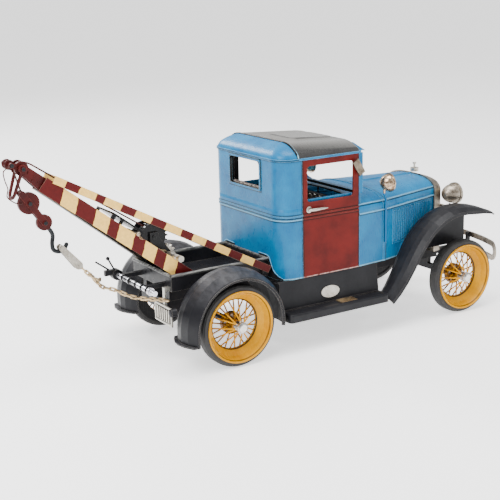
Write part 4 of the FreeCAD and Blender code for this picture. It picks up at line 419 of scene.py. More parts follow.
def doorShade(f):
    # maroon with painted shade in its creases, dark joints and a rubbed hem; black painted shade
    # inside
    x, y, z = f.axes()
    low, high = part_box("doors")
    wide, full = [size * mm for size in doorLook["crease"]]
    creases = reduce(Wire.most, [f.line(z, level * mm, wide, full)
                                 for level in doorLook["creases"]])
    wide, full = [size * mm for size in doorLook["joint"]]
    joints = f.ramp(x, low.x + wide, low.x + full).most(f.ramp(x, high.x - wide, high.x - full))
    # painted shade in the creases, and the dark of the door's joints
    ground = f.mix((creases * 0.8).most(joints * 0.9), clouded(f, *doorLook["maroon"]),
                   doorLook["shadeAndDirt"])
    patches = f.ramp(f.noise(240, 4, 0.65), 0.36, 0.6)
    wide, full = [size * mm for size in doorLook["hem"]]
    ground = f.mix(f.ramp(z, low.z + wide, low.z + full) * patches, ground, doorLook["rubbed"])
    # black painted shade inside
    return f.mix(abs(y) < doorLook["inside"] * mm, ground, blueLook["inside"])


# striped boom paint

stripes = {"cream": (0.95, 0.60, 0.15), "maroon": (0.085, 0.004, 0.004),
           "inside": (0.008, 0.007, 0.007),
           "legEnds": (15.5, 27.6, 42.7, 54.6, 62.4, 75.9, 85.5, 96.0, 104.5, 114.6),
           "braceEnds": (8.3, 18.1, 30.5, 37.7, 51.2, 62, 75, 86, 99, 108.8, 120.3, 128.7,
                         141, 151, 162.5),
           "legLine": ((-120.4, 142.2), (-12.5, 57.2)), "braceLine": ((-113, 145), (43, 61)),
           "wobble": 1.6 * mm, "wobbleScale": 260, "edgeSlant": 0.4}


def stripedPaint(title, ends, bar, firstMaroon, slant=0, blackInside=False):
    # bands across a bar, counted in millimetres from its head end; both sides share one
    # material, so the bar's line is taken on the middle plane
    head, foot = [fromAxle(x, 0, z) for x, z in bar]
    length = (foot - head).length
    along = (foot - head).normalized()
    upward = along.cross(Vector((0, 1, 0)))
    upward = upward if upward.z > 0 else -upward

    def bands(f):
        shifted = f.add("ShaderNodeVectorMath", {"operation": "SUBTRACT"},
                        {0: f.place(), 1: tuple(head)})
        waver = (f.noise(stripes["wobbleScale"], 2, 0.5) - 0.5) * stripes["wobble"]
        share = (f.dot(shifted, tuple(along)) + waver
                 + f.dot(shifted, tuple(upward)) * slant) / length
        stops = [(start * mm / length,
                  stripes["maroon" if (i % 2 == 0) == firstMaroon else "cream"])
                 for i, start in enumerate((0, *ends))]
        flat = f.add("ShaderNodeValToRGB", {"stops": stops, "interpolation": "CONSTANT"},
                     {"Fac": share})
        mottle = f.mix(f.ramp(f.noise(420, 4, 0.65), 0.25, 0.75), linear(150, 128, 104),
                       (1, 1, 1))
        flat = f.add("ShaderNodeMix", {"data_type": "RGBA", "blend_type": "MULTIPLY"},
                     {0: 0.35, 6: flat, 7: mottle}, out=2)
        # with blackInside, faces turned inward or down take black painted shade
        if not blackInside:
            return flat
        facing, side = f.facing(), f.axes()[1]
        inward = (facing[1] * side.sign() < -0.4).most(facing[2] < -0.3)
        return f.mix(inward, flat, stripes["inside"])

    return agedPaint(title, bands, linear(196, 176, 150), linear(30, 20, 18), rough=0.5,
                     rub=0.35, shadeAndDirt=0.45, gloss=0.03)


# wheels and tyres

wheelLook = {"yellow": (0.68, 0.33, 0.0), "ochre": (0.48, 0.19, 0.0),
             "brown": linear(52, 28, 10), "inside": (0.012, 0.012, 0.013), "cap": 4.6 * mm,
             "groove": 25.4 * mm, "grooveHalf": 0.4 * mm, "spokesEnd": 18.6 * mm,
             "backRow": 2.5 * mm, "blackFrom": -2.3 * mm, "blackFull": -2.8 * mm}
tyreLook = {"rubber": linear(26, 26, 27), "dusty": linear(54, 52, 50), "ribPitch": 1.5 * mm,
            "ringPitch": 1.9 * mm, "treadFrom": 28.4 * mm, "ribDeep": 0.5 * mm}


def wheelPaint(title, centre, way):
    # yellow enamel, brown in the groove by the lip and on the inner spokes, with a bright cap; the
    # rim's back half takes black painted shade
    f = agedPaint(title, (wheelLook["ochre"], wheelLook["yellow"]), linear(250, 206, 70),
                  wheelLook["brown"], rough=0.3, rub=0.2, shadeAndDirt=1.0, gloss=0.1, specular=0.08)
    x, y, z = f.axes()
    radius = radiusOf(x - centre.x, z - centre.z)
    outward = (y - centre.y) * way
    capSize, half, backRow = wheelLook["cap"], wheelLook["grooveHalf"], wheelLook["backRow"]
    cap = f.ramp(radius, capSize, capSize * 0.94) * f.ramp(outward, 0, backRow)
    bright = f.mix(f.noise(900, 3, 0.6), linear(240, 238, 232), linear(170, 165, 158))
    ring = f.line(radius, capSize * 0.78, 0.45 * mm, 0.1 * mm)
    bright = f.mix(ring * 0.7, bright, linear(96, 92, 90))
    groove = f.line(radius, wheelLook["groove"], half, half * 0.4)
    inner = f.ramp(outward, backRow * 0.4, -backRow) \
        * f.ramp(radius, wheelLook["spokesEnd"], wheelLook["spokesEnd"] - 1 * mm)
    patches = f.ramp(f.noise(330, 4, 0.6), 0.35, 0.6)
    painted = f.mix((groove * 0.75).most(inner * patches * 0.9), f.fed("Base Color"),
                    wheelLook["brown"])
    # black painted shade on the rim's back half
    back = f.ramp(outward, wheelLook["blackFrom"], wheelLook["blackFull"]) \
        * (radius > wheelLook["spokesEnd"])
    painted = f.mix(back, painted, wheelLook["inside"])
    return f.set(Base_Color=f.mix(cap, painted, bright), Metallic=cap * 0.9)


def tyreRubber(title, centre):
    # dusty rubber, ribbed on the tread and ringed on the walls
    f = Finish(title)
    x, y, z = f.axes()
    radius = radiusOf(x - centre.x, z - centre.z)
    tread = f.ramp(radius, tyreLook["treadFrom"], tyreLook["treadFrom"] + 1 * mm)
    ribs = f.ramp(abs((y / tyreLook["ribPitch"]).fraction() - 0.5), 0.1, 0.3)
    rings = f.ramp(abs((radius / tyreLook["ringPitch"]).fraction() - 0.5), 0.3, 0.5)
    dust = f.ramp(f.noise(180, 5, 0.6), 0.35, 0.75)
    return f.set(Base_Color=f.mix(dust, tyreLook["rubber"], tyreLook["dusty"]),
                 Roughness=0.62 + dust * 0.2,
                 Normal=f.bump(ribs * tread + rings * 0.25 * (1 - tread)
                               + f.noise(2500, 2) * 0.15, 0.7, tyreLook["ribDeep"]))


# black tin, bright fittings and small finishes

# grey of the painted highlight on the rear fenders' crowns
crownHighlight = (0.085, 0.085, 0.092)
# the grey is a painted highlight along the bed's rails
bedLook = {"railLow": 66.6, "railRise": 1.6, "grey": linear(150, 150, 146)}
barLook = {"at": (-55.0, 59.5), "radius": 2.0, "collars": (-27, -18.5, -9, 2, 13, 24),
           "long": 2.2, "over": 0.55}
lampLook = {"stemTop": 109.4, "lampLow": 110}
tagLook = {"y": -27, "z": 39.5, "half": 10.3, "tall": 5.2}


def crownShade(f):
    # black tin with a painted highlight, streaked like brushing, on what faces up
    streak = f.ramp(f.noise(240, 5, 0.7, (1, 0.35, 1)), 0.25, 0.8)
    return f.mix(f.ramp(f.facing()[2], 0.45, 1.0) * streak,
                 clouded(f, (0.005, 0.005, 0.007), (0.013, 0.013, 0.015)), crownHighlight)


def bedShade(f):
    # black, with a streaked painted highlight along the tops of its rolled rails
    low = bedLook["railLow"]
    rail = f.ramp(f.axes()[2], low * mm, (low + bedLook["railRise"]) * mm)
    rail = rail * f.ramp(f.noise(500, 4, 0.7, (0.12, 1, 1)), 0.4, 0.62)
    return f.mix(rail * 0.8, clouded(f, (0.006, 0.006, 0.008), (0.017, 0.017, 0.019)),
                 bedLook["grey"])


def barShade(f):
    # polished bar with painted dark reflections in lengths along it
    darkReflection = f.ramp(f.noise(120, 4, 0.7, (0.05, 1, 0.3)), 0.44, 0.56)
    return f.mix(darkReflection, linear(214, 214, 222), linear(34, 32, 34))


def lampShade(f):
    # bright lamp over a blue stem
    stem = f.ramp(f.axes()[2], lampLook["lampLow"] * mm, lampLook["stemTop"] * mm)
    bright = f.mix(f.ramp(f.noise(700, 4, 0.6), 0.35, 0.7), linear(112, 82, 58),
                   linear(214, 192, 164))
    return f.mix(stem, bright, blueLook["deep"])


def sillShade(f):
    # grey-brown crust with pale worn lumps
    return f.mix(f.ramp(f.noise(520, 5, 0.7), 0.42, 0.58), linear(26, 22, 20),
                 linear(158, 146, 138))


def tagMetal():
    # plated tin with a dark recess
    f = agedMetal("tagFinish", linear(214, 212, 204), linear(140, 136, 128),
                  linear(40, 34, 28), rough=0.34, age=0.7)
    _, y, z = f.axes()
    recess = (abs(y - tagLook["y"] * mm) < tagLook["half"] * mm) \
        * (abs(z - tagLook["z"] * mm) < tagLook["tall"] * mm)
    return f.set(Base_Color=f.mix(recess, f.fed("Base Color"), linear(40, 37, 35)))


cabBlue = bluePaint("cabBlue")
rubbedBlue = agedPaint("rubbedBlue", (linear(40, 120, 165), linear(110, 185, 220)),
                       linear(190, 225, 235), rough=0.4, rub=0.6)
bodyBlack = agedPaint("bodyBlack", ((0.006, 0.006, 0.008), (0.017, 0.017, 0.019)),
                      linear(120, 114, 106), rub=0.45, shadeAndDirt=0.5, gloss=0.03)
gearBlack = agedPaint("gearBlack", ((0.002, 0.002, 0.003), (0.006, 0.006, 0.007)),
                      linear(96, 94, 92), rough=0.26, rub=0.35, shadeAndDirt=0.3, gloss=0.12,
                      specular=0.12)
maroonPaint = agedPaint("maroonPaint", ((0.024, 0.003, 0.003), (0.09, 0.006, 0.005)),
                        linear(150, 70, 60), linear(8, 6, 6), rough=0.48, rub=0.4, shadeAndDirt=1.0,
                        gloss=0.03)
cableBrown = agedPaint("cableBrown", ((0.035, 0.01, 0.008), (0.09, 0.02, 0.014)),
                       linear(150, 110, 90), rough=0.5, rub=0.4, gloss=0.02)
roughBrown = agedPaint("roughBrown", sillShade, linear(214, 206, 196), linear(24, 20, 18),
                       rough=0.6, shadeAndDirt=0.8, brush=0.9)
agedChrome = agedMetal("agedChrome", linear(226, 222, 212), linear(150, 142, 130),
                       linear(52, 38, 26))
agedBrass = agedMetal("agedBrass", linear(222, 196, 154), linear(96, 74, 52),
                      linear(16, 12, 9), rough=0.3, age=1.0)
darkSteel = agedMetal("darkSteel", linear(58, 60, 62), linear(24, 25, 27),
                      linear(12, 10, 10), rough=0.4, age=0.85)


# what each node wears

def wear(finish, *names):
    for name in names:
        skin = nodes[name].data
        skin.materials.clear()
        skin.materials.append(finish.material)
        for face in skin.polygons:
            face.material_index = 0


def dressCab():
    wear(shellBlue(), "cab_shell")
    wear(cabBlue, "visor")
    wear(bluePaint("screenBlue", screenShade), "windscreen_frame")
    wear(bluePaint("roofBlue", roofEdge), "roof")
    wear(bluePaint("frontBlue", frontShade), "cowl", "hood")
    wear(agedPaint("roofBlack", roofShade, linear(150, 140, 128), rough=0.34, rub=0.4,
                   shadeAndDirt=0.4, gloss=0.75, brush=0.12), "roof_panel")
    wear(agedPaint("doorMaroon", doorShade, linear(168, 92, 80), linear(30, 16, 16), rub=0.45,
                   shadeAndDirt=0.75, gloss=0.03, specular=0.1), "doors")
    wear(agedPaint("seatBrown", ((0.006, 0.005, 0.005), (0.014, 0.011, 0.01)),
                   linear(60, 52, 46), rough=0.6, rub=0.1, gloss=0.0, brush=0.1), "seat")
    lamp = agedPaint("lampFinish", lampShade, linear(230, 226, 216), linear(50, 38, 26),
                     rough=0.25, shadeAndDirt=0.7)
    shine = lamp.ramp(lamp.axes()[2], lampLook["stemTop"] * mm, lampLook["lampLow"] * mm)
    wear(lamp.set(Metallic=shine * 0.9), "cowl_lamps")


def dressBody():
    wear(bodyBlack, "chassis_frame", "front_fenders", "rear_axle", "front_axle", "cab_floor",
         "radiator_core", "running_boards", "aprons", "bed_sills", "tow_brackets",
         "tow_clamp", "tail_lamp", "bumper_irons", "steering_wheel")
    wear(agedPaint("crownBlack", crownShade, linear(150, 146, 140), rough=0.4, shadeAndDirt=0.4,
                   gloss=0.03), "rear_fenders")
    wear(agedPaint("bedPaint", bedShade, linear(150, 146, 138), rough=0.36, shadeAndDirt=0.5,
                   gloss=0.03), "bed")
    wear(agedChrome, "door_handles", "radiator_cap", "winch_crank", "apron_plates")
    wear(agedMetal("dullChrome", linear(196, 186, 170), linear(80, 66, 54),
                   linear(34, 24, 17), rough=0.3, age=0.95),
         "radiator_shell", "headlights", "headlight_bar", "front_bumper", "tie_rod")
    wear(agedMetal("wingMetal", linear(156, 144, 126), linear(64, 52, 42),
                   linear(30, 22, 18), rough=0.34, age=0.8), "wind_wings")
    wear(agedBrass, "step_plates", "chain_sling")
    wear(tagMetal(), "tag_plate")
    wear(agedPaint("barFinish", barShade, linear(236, 232, 224), linear(20, 16, 13),
                   rough=0.3, shadeAndDirt=0.8).set(Metallic=0.85), "tow_bar")


def dressHoist():
    wear(stripedPaint("legPaint", stripes["legEnds"], stripes["legLine"], True,
                      stripes["edgeSlant"], True), "boom_legs")
    wear(stripedPaint("bracePaint", stripes["braceEnds"], stripes["braceLine"], False),
         "boom_braces")
    wear(maroonPaint, "boom_head", "hook_block", "bail")
    wear(gearBlack, "winch_frame", "winch_drum", "tie_plate")
    wear(agedMetal("linkMetal", linear(196, 190, 178), linear(104, 97, 88),
                   linear(44, 36, 28), rough=0.36, age=0.8), "link_plate")
    wear(darkSteel, "hook")
    wear(cableBrown, "hoist_cable")


def dressWheels():
    for end in ("rear", "front"):
        rubber = tyreRubber("tyreRubber_" + end, jointAt["roll_%s_left" % end])
        for side, way in (("left", 1), ("right", -1)):
            name = "%s_%s" % (end, side)
            wear(rubber, "tyre_" + name)
            wear(wheelPaint("wheelPaint_" + name, jointAt["roll_" + name], way),
                 "wire_wheel_" + name)
    wear(agedPaint("drumPaint", (wheelLook["brown"], wheelLook["ochre"]),
                   wheelLook["yellow"], linear(14, 9, 5), rough=0.4, rub=0.4, shadeAndDirt=0.9),
         "brake_drums")


dressCab()
dressBody()
dressHoist()
dressWheels()
print("materials on the frame")


# small pieces

def addMesh(title, shape, finish, body, smooth=True):
    # a finished bmesh becomes a piece that rides on a body
    data = bpy.data.meshes.new(title)
    shape.to_mesh(data)
    shape.free()
    for face in data.polygons:
        face.use_smooth = smooth
    data.materials.append(finish.material)
    piece = bpy.data.objects.new(title, data)
    bpy.context.scene.collection.objects.link(piece)
    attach(piece, body)
    return piece


def turned(where, along):
    # a frame at a point whose Z runs along a direction
    return Matrix.Translation(where) @ along.to_track_quat("Z", "Y").to_matrix().to_4x4()


def lathe(shape, profile, where, along, count=24):
    # a profile of (radius, height) pairs spun round an axis
    frameAt = turned(where, along)
    rings = []
    for radius, height in profile:
        ring = []
        for i in range(count):
            angle = math.tau * i / count
            ring.append(shape.verts.new(frameAt @ Vector((radius * math.cos(angle),
                                                          radius * math.sin(angle), height))))
        rings.append(ring)
    for a, b in zip(rings, rings[1:]):
        for i in range(count):
            j = (i + 1) % count
            shape.faces.new((a[i], a[j], b[j], b[i]))
    for ring, flip in ((rings[0], True), (rings[-1], False)):
        shape.faces.new(list(reversed(ring)) if flip else ring)


def rivetProfile(radius, height):
    return ((radius, 0), (radius, height * 0.25), (radius * 0.82, height * 0.68),
            (radius * 0.45, height * 0.94), (radius * 0.08, height))


def boltProfile(radius, height):
    return ((radius, 0), (radius, height * 0.8), (radius * 0.85, height), (radius * 0.05, height))


def studs(title, spots, radius, height, finish, body, bolt=False):
    # many small heads in one mesh; each spot is a place and the way it faces
    shape = bmesh.new()
    profile = (boltProfile if bolt else rivetProfile)(radius, height)
    for where, facing in spots:
        lathe(shape, profile, where - facing * height * 0.15, facing, 6 if bolt else 12)
    return addMesh(title, shape, finish, body, not bolt)


def tube(shape, points, radius, count=8, closed=False):
    # a round wire through points
    total = len(points)
    rings = []
    side = None
    for i, at in enumerate(points):
        before = points[i - 1] if i or closed else at
        after = points[(i + 1) % total] if i < total - 1 or closed else at
        along = (after - before).normalized()
        if side is None:
            side = along.orthogonal().normalized()
        side = (side - along * side.dot(along)).normalized()
        across = along.cross(side)
        rings.append([shape.verts.new(at + (side * math.cos(math.tau * k / count)
                                            + across * math.sin(math.tau * k / count)) * radius)
                      for k in range(count)])
    pairs = list(zip(rings, rings[1:])) + ([(rings[-1], rings[0])] if closed else [])
    for a, b in pairs:
        for k in range(count):
            j = (k + 1) % count
            shape.faces.new((a[k], a[j], b[j], b[k]))
    if not closed:
        shape.faces.new(list(reversed(rings[0])))
        shape.faces.new(rings[-1])


def smoothed(points, steps=5):
    # a rounded run of points through the given ones
    run = []
    ends = [points[0], *points, points[-1]]
    for i in range(len(points) - 1):
        a, b, c, d = ends[i:i + 4]
        for k in range(steps):
            u = k / steps
            run.append(0.5 * (2 * b + (c - a) * u + (2 * a - 5 * b + 4 * c - d) * u * u
                              + (3 * b - a - 3 * c + d) * u * u * u))
    return run + [points[-1]]


def slab(shape, low, high):
    made = bmesh.ops.create_cube(shape, size=1)
    middle, size = (low + high) / 2, high - low
    for vert in made["verts"]:
        vert.co = Vector((vert.co.x * size.x, vert.co.y * size.y, vert.co.z * size.z)) + middle


def softened(piece, width):
    bevel = piece.modifiers.new("softened", "BEVEL")
    bevel.width = width
    bevel.segments = 2
    bevel.limit_method = "ANGLE"


def mirroredSlabs(title, sizes, finish):
    # a softened bar on each side of the truck
    shape = bmesh.new()
    (x0, x1), across, (z0, z1) = sizes["x"], sizes["y"], sizes["z"]
    for way in (1, -1):
        y0, y1 = sorted(way * y for y in across)
        slab(shape, fromAxle(x0, y0, z0), fromAxle(x1, y1, z1))
    softened(addMesh(title, shape, finish, "truck", False), sizes["soft"] * mm)


# bolts on the brake drums, seen between the spokes
hubBolts = {"count": 5, "ring": 6.2 * mm, "radius": 1.55 * mm, "height": 1.3 * mm}


def buildHubBolts():
    face = max(abs(v.co.y) for v in nodes["brake_drums"].data.vertices)
    for end in ("rear", "front"):
        for side, way in (("left", 1), ("right", -1)):
            name = "%s_%s" % (end, side)
            centre = jointAt["roll_" + name]
            spots = []
            for i in range(hubBolts["count"]):
                angle = math.tau * (i + 0.25) / hubBolts["count"]
                spots.append((Vector((centre.x + hubBolts["ring"] * math.cos(angle), way * face,
                                      centre.z + hubBolts["ring"] * math.sin(angle))),
                              Vector((0, way, 0))))
            studs("drum_bolts_" + name, spots, hubBolts["radius"], hubBolts["height"],
                  agedChrome, "truck")


buildHubBolts()

# rivets and bolt heads on the head plates
headLook = {"rivet": 0.75 * mm, "bolt": 1.5 * mm, "height": 0.8 * mm,
            "rivets": ((-125.5, 4.6, 148.3), (-123.0, 4.6, 143.5), (-129.6, 4.6, 151.2),
                       (-127.0, 4.6, 145.6)),
            "nuts": ((-134, 8.7, 154.4), (-141.7, 8, 157.6), (-129.4, 3.7, 129.2),
                     (-119.3, 3.7, 114.2))}


def buildHeadRivets():
    rivets, nuts = [[(fromAxle(x, way * y, z), Vector((0, way, 0)))
                     for way in (1, -1) for x, y, z in headLook[kind]]
                    for kind in ("rivets", "nuts")]
    studs("head_rivets", rivets, headLook["rivet"], headLook["height"], maroonPaint, "truck")
    studs("head_nuts", nuts, headLook["bolt"], headLook["height"], darkSteel, "truck", bolt=True)


buildHeadRivets()

# guide sleeve over the head's roller, and the thin wire that hangs from its end
guide = {"at": (-141.7, 157.6), "radius": 2.7 * mm, "half": 3.0 * mm, "flange": 3.5 * mm,
         "wire": 0.45 * mm,
         "drop": ((-143.5, -8.6, 157.0), (-148.0, -8.6, 154.6), (-147.6, -8.4, 148.5),
                  (-145.8, -8.0, 142.5), (-146.4, -7.0, 137.4), (-143.8, -5.5, 134.0),
                  (-138.6, -3.0, 130.6), (-134.5, -2.6, 129.8))}


def buildGuide():
    shape = bmesh.new()
    x, z = guide["at"]
    half, radius, flange = guide["half"], guide["radius"], guide["flange"]
    profile = ((flange * 0.6, -half), (flange, -half), (flange, -half * 0.75),
               (radius, -half * 0.6), (radius * 0.9, 0), (radius, half * 0.6),
               (flange, half * 0.75), (flange, half), (flange * 0.6, half))
    lathe(shape, profile, fromAxle(x, 0, z), Vector((0, 1, 0)))
    addMesh("guide_sleeve", shape, maroonPaint, "truck")
    shape = bmesh.new()
    tube(shape, smoothed([fromAxle(*spot) for spot in guide["drop"]]), guide["wire"], 6)
    addMesh("guide_wire", shape, cableBrown, "truck")


buildGuide()

# black filler where the cab's lower rear corners are cut away, with a rubbed blue bead
notch = {"low": 53.3, "out": 0.35, "thick": 0.3, "bead": 0.38, "steps": 26,
         "edge": ((18, 70.2), (29, 70.4), (32.5, 69.6), (34.4, 66.8), (36.2, 62.6), (38.6, 59.4),
                  (42.0, 56.4), (45.5, 54.2)),
         "wall": 46.0, "corner": 13.0, "halfWide": 49.6}


def buildNotch():
    shape = bmesh.new()
    beads = bmesh.new()
    bend = notch["halfWide"] - notch["corner"]
    for way in (1, -1):
        top = []
        columns = []
        reach = notch["edge"][-1][0] - notch["edge"][0][0]
        for i in range(notch["steps"] + 1):
            y = notch["edge"][0][0] + reach * i / notch["steps"]
            for (y0, z0), (y1, z1) in zip(notch["edge"], notch["edge"][1:]):
                if y0 <= y <= y1:
                    z = z0 + (z1 - z0) * (y - y0) / (y1 - y0)
            over = max(0, y - bend)
            x = notch["wall"] + notch["corner"] - math.sqrt(notch["corner"] ** 2 - over ** 2)
            x -= notch["out"]
            y += notch["out"] * over / notch["corner"]
            top.append(fromAxle(x, way * y, z))
            columns.append([shape.verts.new(fromAxle(x + deep, way * y, height))
                            for deep, height in ((0, notch["low"]), (0, z),
                                                 (notch["thick"], z),
                                                 (notch["thick"], notch["low"]))])
        for a, b in zip(columns, columns[1:]):
            for k in range(4):
                j = (k + 1) % 4
                shape.faces.new((a[k], a[j], b[j], b[k]))
        for column, flip in ((columns[0], True), (columns[-1], False)):
            shape.faces.new(list(reversed(column)) if flip else column)
        tube(beads, top, notch["bead"] * mm, 6)
    bmesh.ops.recalc_face_normals(shape, faces=shape.faces)
    addMesh("notch_filler", shape, bodyBlack, "truck", False)
    addMesh("notch_beads", beads, rubbedBlue, "truck")


buildNotch()

# closing strips between the rear fenders' front ends and the aprons
closer = {"x": (41.9, 42.25), "y": (44.5, 51.9), "z": (31.0, 52.5), "soft": 0.12}
mirroredSlabs("fender_closers", closer, bodyBlack)

# cable wound on the drum
drumCable = {"turns": 11, "radius": 0.55 * mm, "core": 4.0 * mm, "half": 6.4 * mm,
             "steps": 20}


def buildDrumCable():
    shape = bmesh.new()
    centre = jointAt["winch_turn"]
    points = []
    total = drumCable["turns"] * drumCable["steps"]
    reach = drumCable["core"] + drumCable["radius"] * 0.8
    for i in range(total + 1):
        angle = math.tau * i / drumCable["steps"]
        across = -drumCable["half"] + 2 * drumCable["half"] * i / total
        points.append(Vector((centre.x + reach * math.cos(angle), across,
                              centre.z + reach * math.sin(angle))))
    tube(shape, points, drumCable["radius"], 6)
    addMesh("drum_cable", shape, darkSteel, "winch")


buildDrumCable()

# rubber bead in the joint between the roof's blue cap and its dark panel
gasket = {"x": 61.3, "middle": 141.0, "far": 90, "radius": 0.85, "from": 8, "steps": 60}


def buildGasket():
    roof = nodes["roof"].data
    skin = BVHTree.FromPolygons([v.co for v in roof.vertices],
                                [list(p.vertices) for p in roof.polygons])
    centre = fromAxle(gasket["x"], 0, gasket["middle"])
    points = []
    for i in range(gasket["steps"] + 1):
        angle = math.radians(gasket["from"] + (180 - 2 * gasket["from"]) * i / gasket["steps"])
        out = Vector((0, math.cos(angle), math.sin(angle)))
        hit = skin.ray_cast(centre + out * gasket["far"] * mm, -out)[0]
        if hit:
            points.append(hit + out * 0.1 * mm)
    shape = bmesh.new()
    tube(shape, points, gasket["radius"] * mm, 8)
    addMesh("roof_gasket", shape, gearBlack, "truck")


buildGasket()

# blue capping inside the doors' window sills
capping = {"x": (70.2, 112.8), "y": (45.0, 47.2), "z": (108.6, 112.7), "soft": 0.4}
mirroredSlabs("door_capping", capping, cabBlue)

# dark collars on the tow bar, and a bright sleeve on the crank's shaft
sleeve = {"from": -14.5, "to": -29.5, "radius": 2.15, "cap": 1.6}


def buildCollars():
    shape = bmesh.new()
    x, z = barLook["at"]
    thick = barLook["radius"] + barLook["over"]
    half = barLook["long"] / 2
    for y in barLook["collars"]:
        lathe(shape, [(r * mm, h * mm) for r, h in
                      ((thick * 0.84, -half), (thick, -half * 0.7), (thick, half * 0.7),
                       (thick * 0.84, half))], fromAxle(x, y, z), Vector((0, 1, 0)), 16)
    addMesh("bar_collars", shape, gearBlack, "truck")


def buildSleeve():
    at = jointAt["crank_turn"]
    for title, start, end, radius, finish in (
            ("crank_sleeve", sleeve["from"], sleeve["to"], sleeve["radius"], agedChrome),
            ("crank_sleeve_end", sleeve["to"], sleeve["to"] - sleeve["cap"],
             sleeve["radius"] * 1.08, agedBrass)):
        shape = bmesh.new()
        long = start - end
        lathe(shape, [(r * radius * mm, h * mm) for r, h in
                      ((0.86, 0), (1, 0.25), (1, long - 0.25), (0.86, long))],
              Vector((at.x, start * mm, at.z)), Vector((0, -1, 0)))
        addMesh(title, shape, finish, "crank")


buildCollars()
buildSleeve()

# rough brown strip along the sill of the rear window
sill = {"x": 48.8, "z": 119.9, "half": 19.4, "radius": 1.3, "rough": 0.4, "steps": 52,
        "turn": 2.4}


def buildSill():
    shape = bmesh.new()
    points = []
    for i in range(sill["steps"] + 1):
        turn = i * sill["turn"]
        points.append(fromAxle(sill["x"] + sill["rough"] * math.sin(turn),
                               sill["half"] * (2 * i / sill["steps"] - 1),
                               sill["z"] + sill["rough"] * math.sin(turn * 1.7 + 1)))
    tube(shape, points, sill["radius"] * mm, 8)
    addMesh("sill_strip", shape, roughBrown, "truck")


buildSill()

# dashboard with three dials under the windscreen
dash = {"x": 117, "deep": 4, "half": 43, "low": 96, "high": 105, "dial": 3.4,
        "dials": (-7, 0, 7)}


def buildDash():
    shape = bmesh.new()
    slab(shape, fromAxle(dash["x"] - dash["deep"], -dash["half"], dash["low"]),
         fromAxle(dash["x"], dash["half"], dash["high"]))
    softened(addMesh("dashboard", shape, bodyBlack, "truck", False), 0.8 * mm)
    shape = bmesh.new()
    middle = (dash["low"] + dash["high"]) / 2
    for y in dash["dials"]:
        lathe(shape, [(r * dash["dial"] * mm / 3, h * mm) for r, h in
                      ((3, 0), (3, 0.6), (2.6, 0.9), (2.5, 0.5), (0.1, 0.5))],
              fromAxle(dash["x"] - dash["deep"], y, middle), Vector((-1, 0, 0)))
    addMesh("dash_dials", shape, agedChrome, "truck")


buildDash()

# thin chain from the rod's knob down to the crank shaft
keeper = {"from": (-57.0, -20.5, 99.0), "to": (-30, -12, 81.8), "sag": 3.0, "pitch": 1.5,
          "wire": 0.28, "long": 0.72, "wide": 0.42, "around": 10}


def buildKeeper():
    shape = bmesh.new()
    a, b = Vector(keeper["from"]), Vector(keeper["to"])
    count = int((b - a).length / keeper["pitch"])
    along = (b - a).normalized()
    for i in range(count):
        share = (i + 0.5) / count
        at = a.lerp(b, share) - Vector((0, 0, keeper["sag"] * 4 * share * (1 - share)))
        side = along.cross(Vector((0, 0, 1))).normalized()
        if i % 2:
            side = along.cross(side)
        ring = []
        for k in range(keeper["around"]):
            angle = math.tau * k / keeper["around"]
            spot = at + along * (keeper["pitch"] * keeper["long"] * math.cos(angle)) \
                + side * (keeper["pitch"] * keeper["wide"] * math.sin(angle))
            ring.append(fromAxle(*spot))
        tube(shape, ring, keeper["wire"] * mm, 5, True)
    addMesh("keeper_chain", shape, agedBrass, "truck")


buildKeeper()

# raised bars on the bare tag plate
tagRibs = {"count": 6, "wide": 1.2, "tall": 9.4, "span": 20, "x": -43.9, "deep": 1.0}


def buildTagRibs():
    shape = bmesh.new()
    half, rise = tagRibs["wide"] / 2, tagRibs["tall"] / 2
    for i in range(tagRibs["count"]):
        y = tagLook["y"] + tagRibs["span"] * ((i + 0.5) / tagRibs["count"] - 0.5)
        slab(shape, fromAxle(tagRibs["x"], y - half, tagLook["z"] - rise),
             fromAxle(tagRibs["x"] + tagRibs["deep"], y + half, tagLook["z"] + rise))
    softened(addMesh("tag_ribs", shape, agedChrome, "truck", False), 0.25 * mm)


buildTagRibs()
print("small pieces in place")


# studio

studio = {"floorSize": 60.0, "floorTone": (0.9, 0.9, 0.9, 1), "floorGlow": 1.1, "sky": 0.7,
          "keyPower": 18, "keySize": 0.7, "topPower": 16, "fillPower": 2.5, "fillSize": 1.2,
          "sheenPower": 16, "sheenSize": 0.5}
view = {"place": (-373.9, -680.5, 277.3), "ahead": (0.5106, 0.8216, -0.2535),
        "up": (0.1548, 0.2021, 0.967), "angle": 26.805}


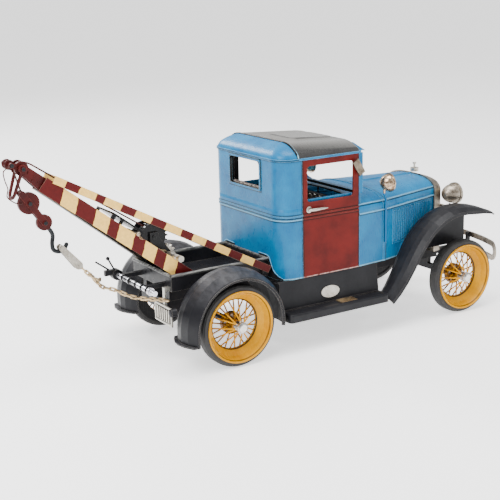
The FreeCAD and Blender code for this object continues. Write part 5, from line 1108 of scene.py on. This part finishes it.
def buildStudio():
    floor = bpy.data.meshes.new("floor")
    half = studio["floorSize"] / 2
    floor.from_pydata([(-half, -half, 0), (half, -half, 0), (half, half, 0), (-half, half, 0)],
                      [], [(0, 1, 2, 3)])
    ground = bpy.data.objects.new("floor", floor)
    bpy.context.scene.collection.objects.link(ground)
    pale = Finish("paleFloor")
    pale.set(Base_Color=studio["floorTone"], Roughness=0.55, Emission_Color=(1, 1, 1, 1),
             Emission_Strength=studio["floorGlow"])
    floor.materials.append(pale.material)

    world = bpy.data.worlds.new("studioSky")
    bpy.context.scene.world = world
    world.use_nodes = True
    sky = world.node_tree.nodes["Background"]
    sky.inputs["Color"].default_value = (1, 1, 1, 1)
    sky.inputs["Strength"].default_value = studio["sky"]

    for title, place, aim, power, size in (
            ("keyLight", (-0.85, -0.35, 0.95), (0, 0, 0.06), studio["keyPower"], studio["keySize"]),
            ("topLight", (0.15, -0.1, 1.2), (0, 0, 0.06), studio["topPower"], studio["keySize"]),
            ("fillLight", (0.7, -0.6, 0.5), (0.05, 0, 0.06), studio["fillPower"],
             studio["fillSize"]),
            ("backLight", (-0.1, 0.8, 0.8), (0, 0, 0.08), studio["fillPower"],
             studio["fillSize"]),
            ("sheenLight", (-0.25, 1.3, 0.85), (0, 0, 0.12), studio["sheenPower"],
             studio["sheenSize"])):
        lamp = bpy.data.lights.new(title, "AREA")
        lamp.energy = power
        lamp.size = size
        body = bpy.data.objects.new(title, lamp)
        body.location = place
        body.rotation_mode = "QUATERNION"
        body.rotation_quaternion = (Vector(aim) - Vector(place)).to_track_quat("-Z", "Y")
        bpy.context.scene.collection.objects.link(body)

    lens = bpy.data.cameras.new("photoCamera")
    lens.sensor_width = 36
    lens.lens = lens.sensor_width / 2 / math.tan(math.radians(view["angle"] / 2))
    lens.clip_start = 0.05
    camera = bpy.data.objects.new("photoCamera", lens)
    ahead = Vector(view["ahead"]).normalized()
    right = ahead.cross(Vector(view["up"])).normalized()
    up = right.cross(ahead)
    turn = Matrix((right, up, -ahead)).transposed()
    camera.matrix_world = Matrix.Translation(fromAxle(*view["place"])) @ turn.to_4x4()
    bpy.context.scene.collection.objects.link(camera)
    bpy.context.scene.camera = camera


buildStudio()
print("studio ready")
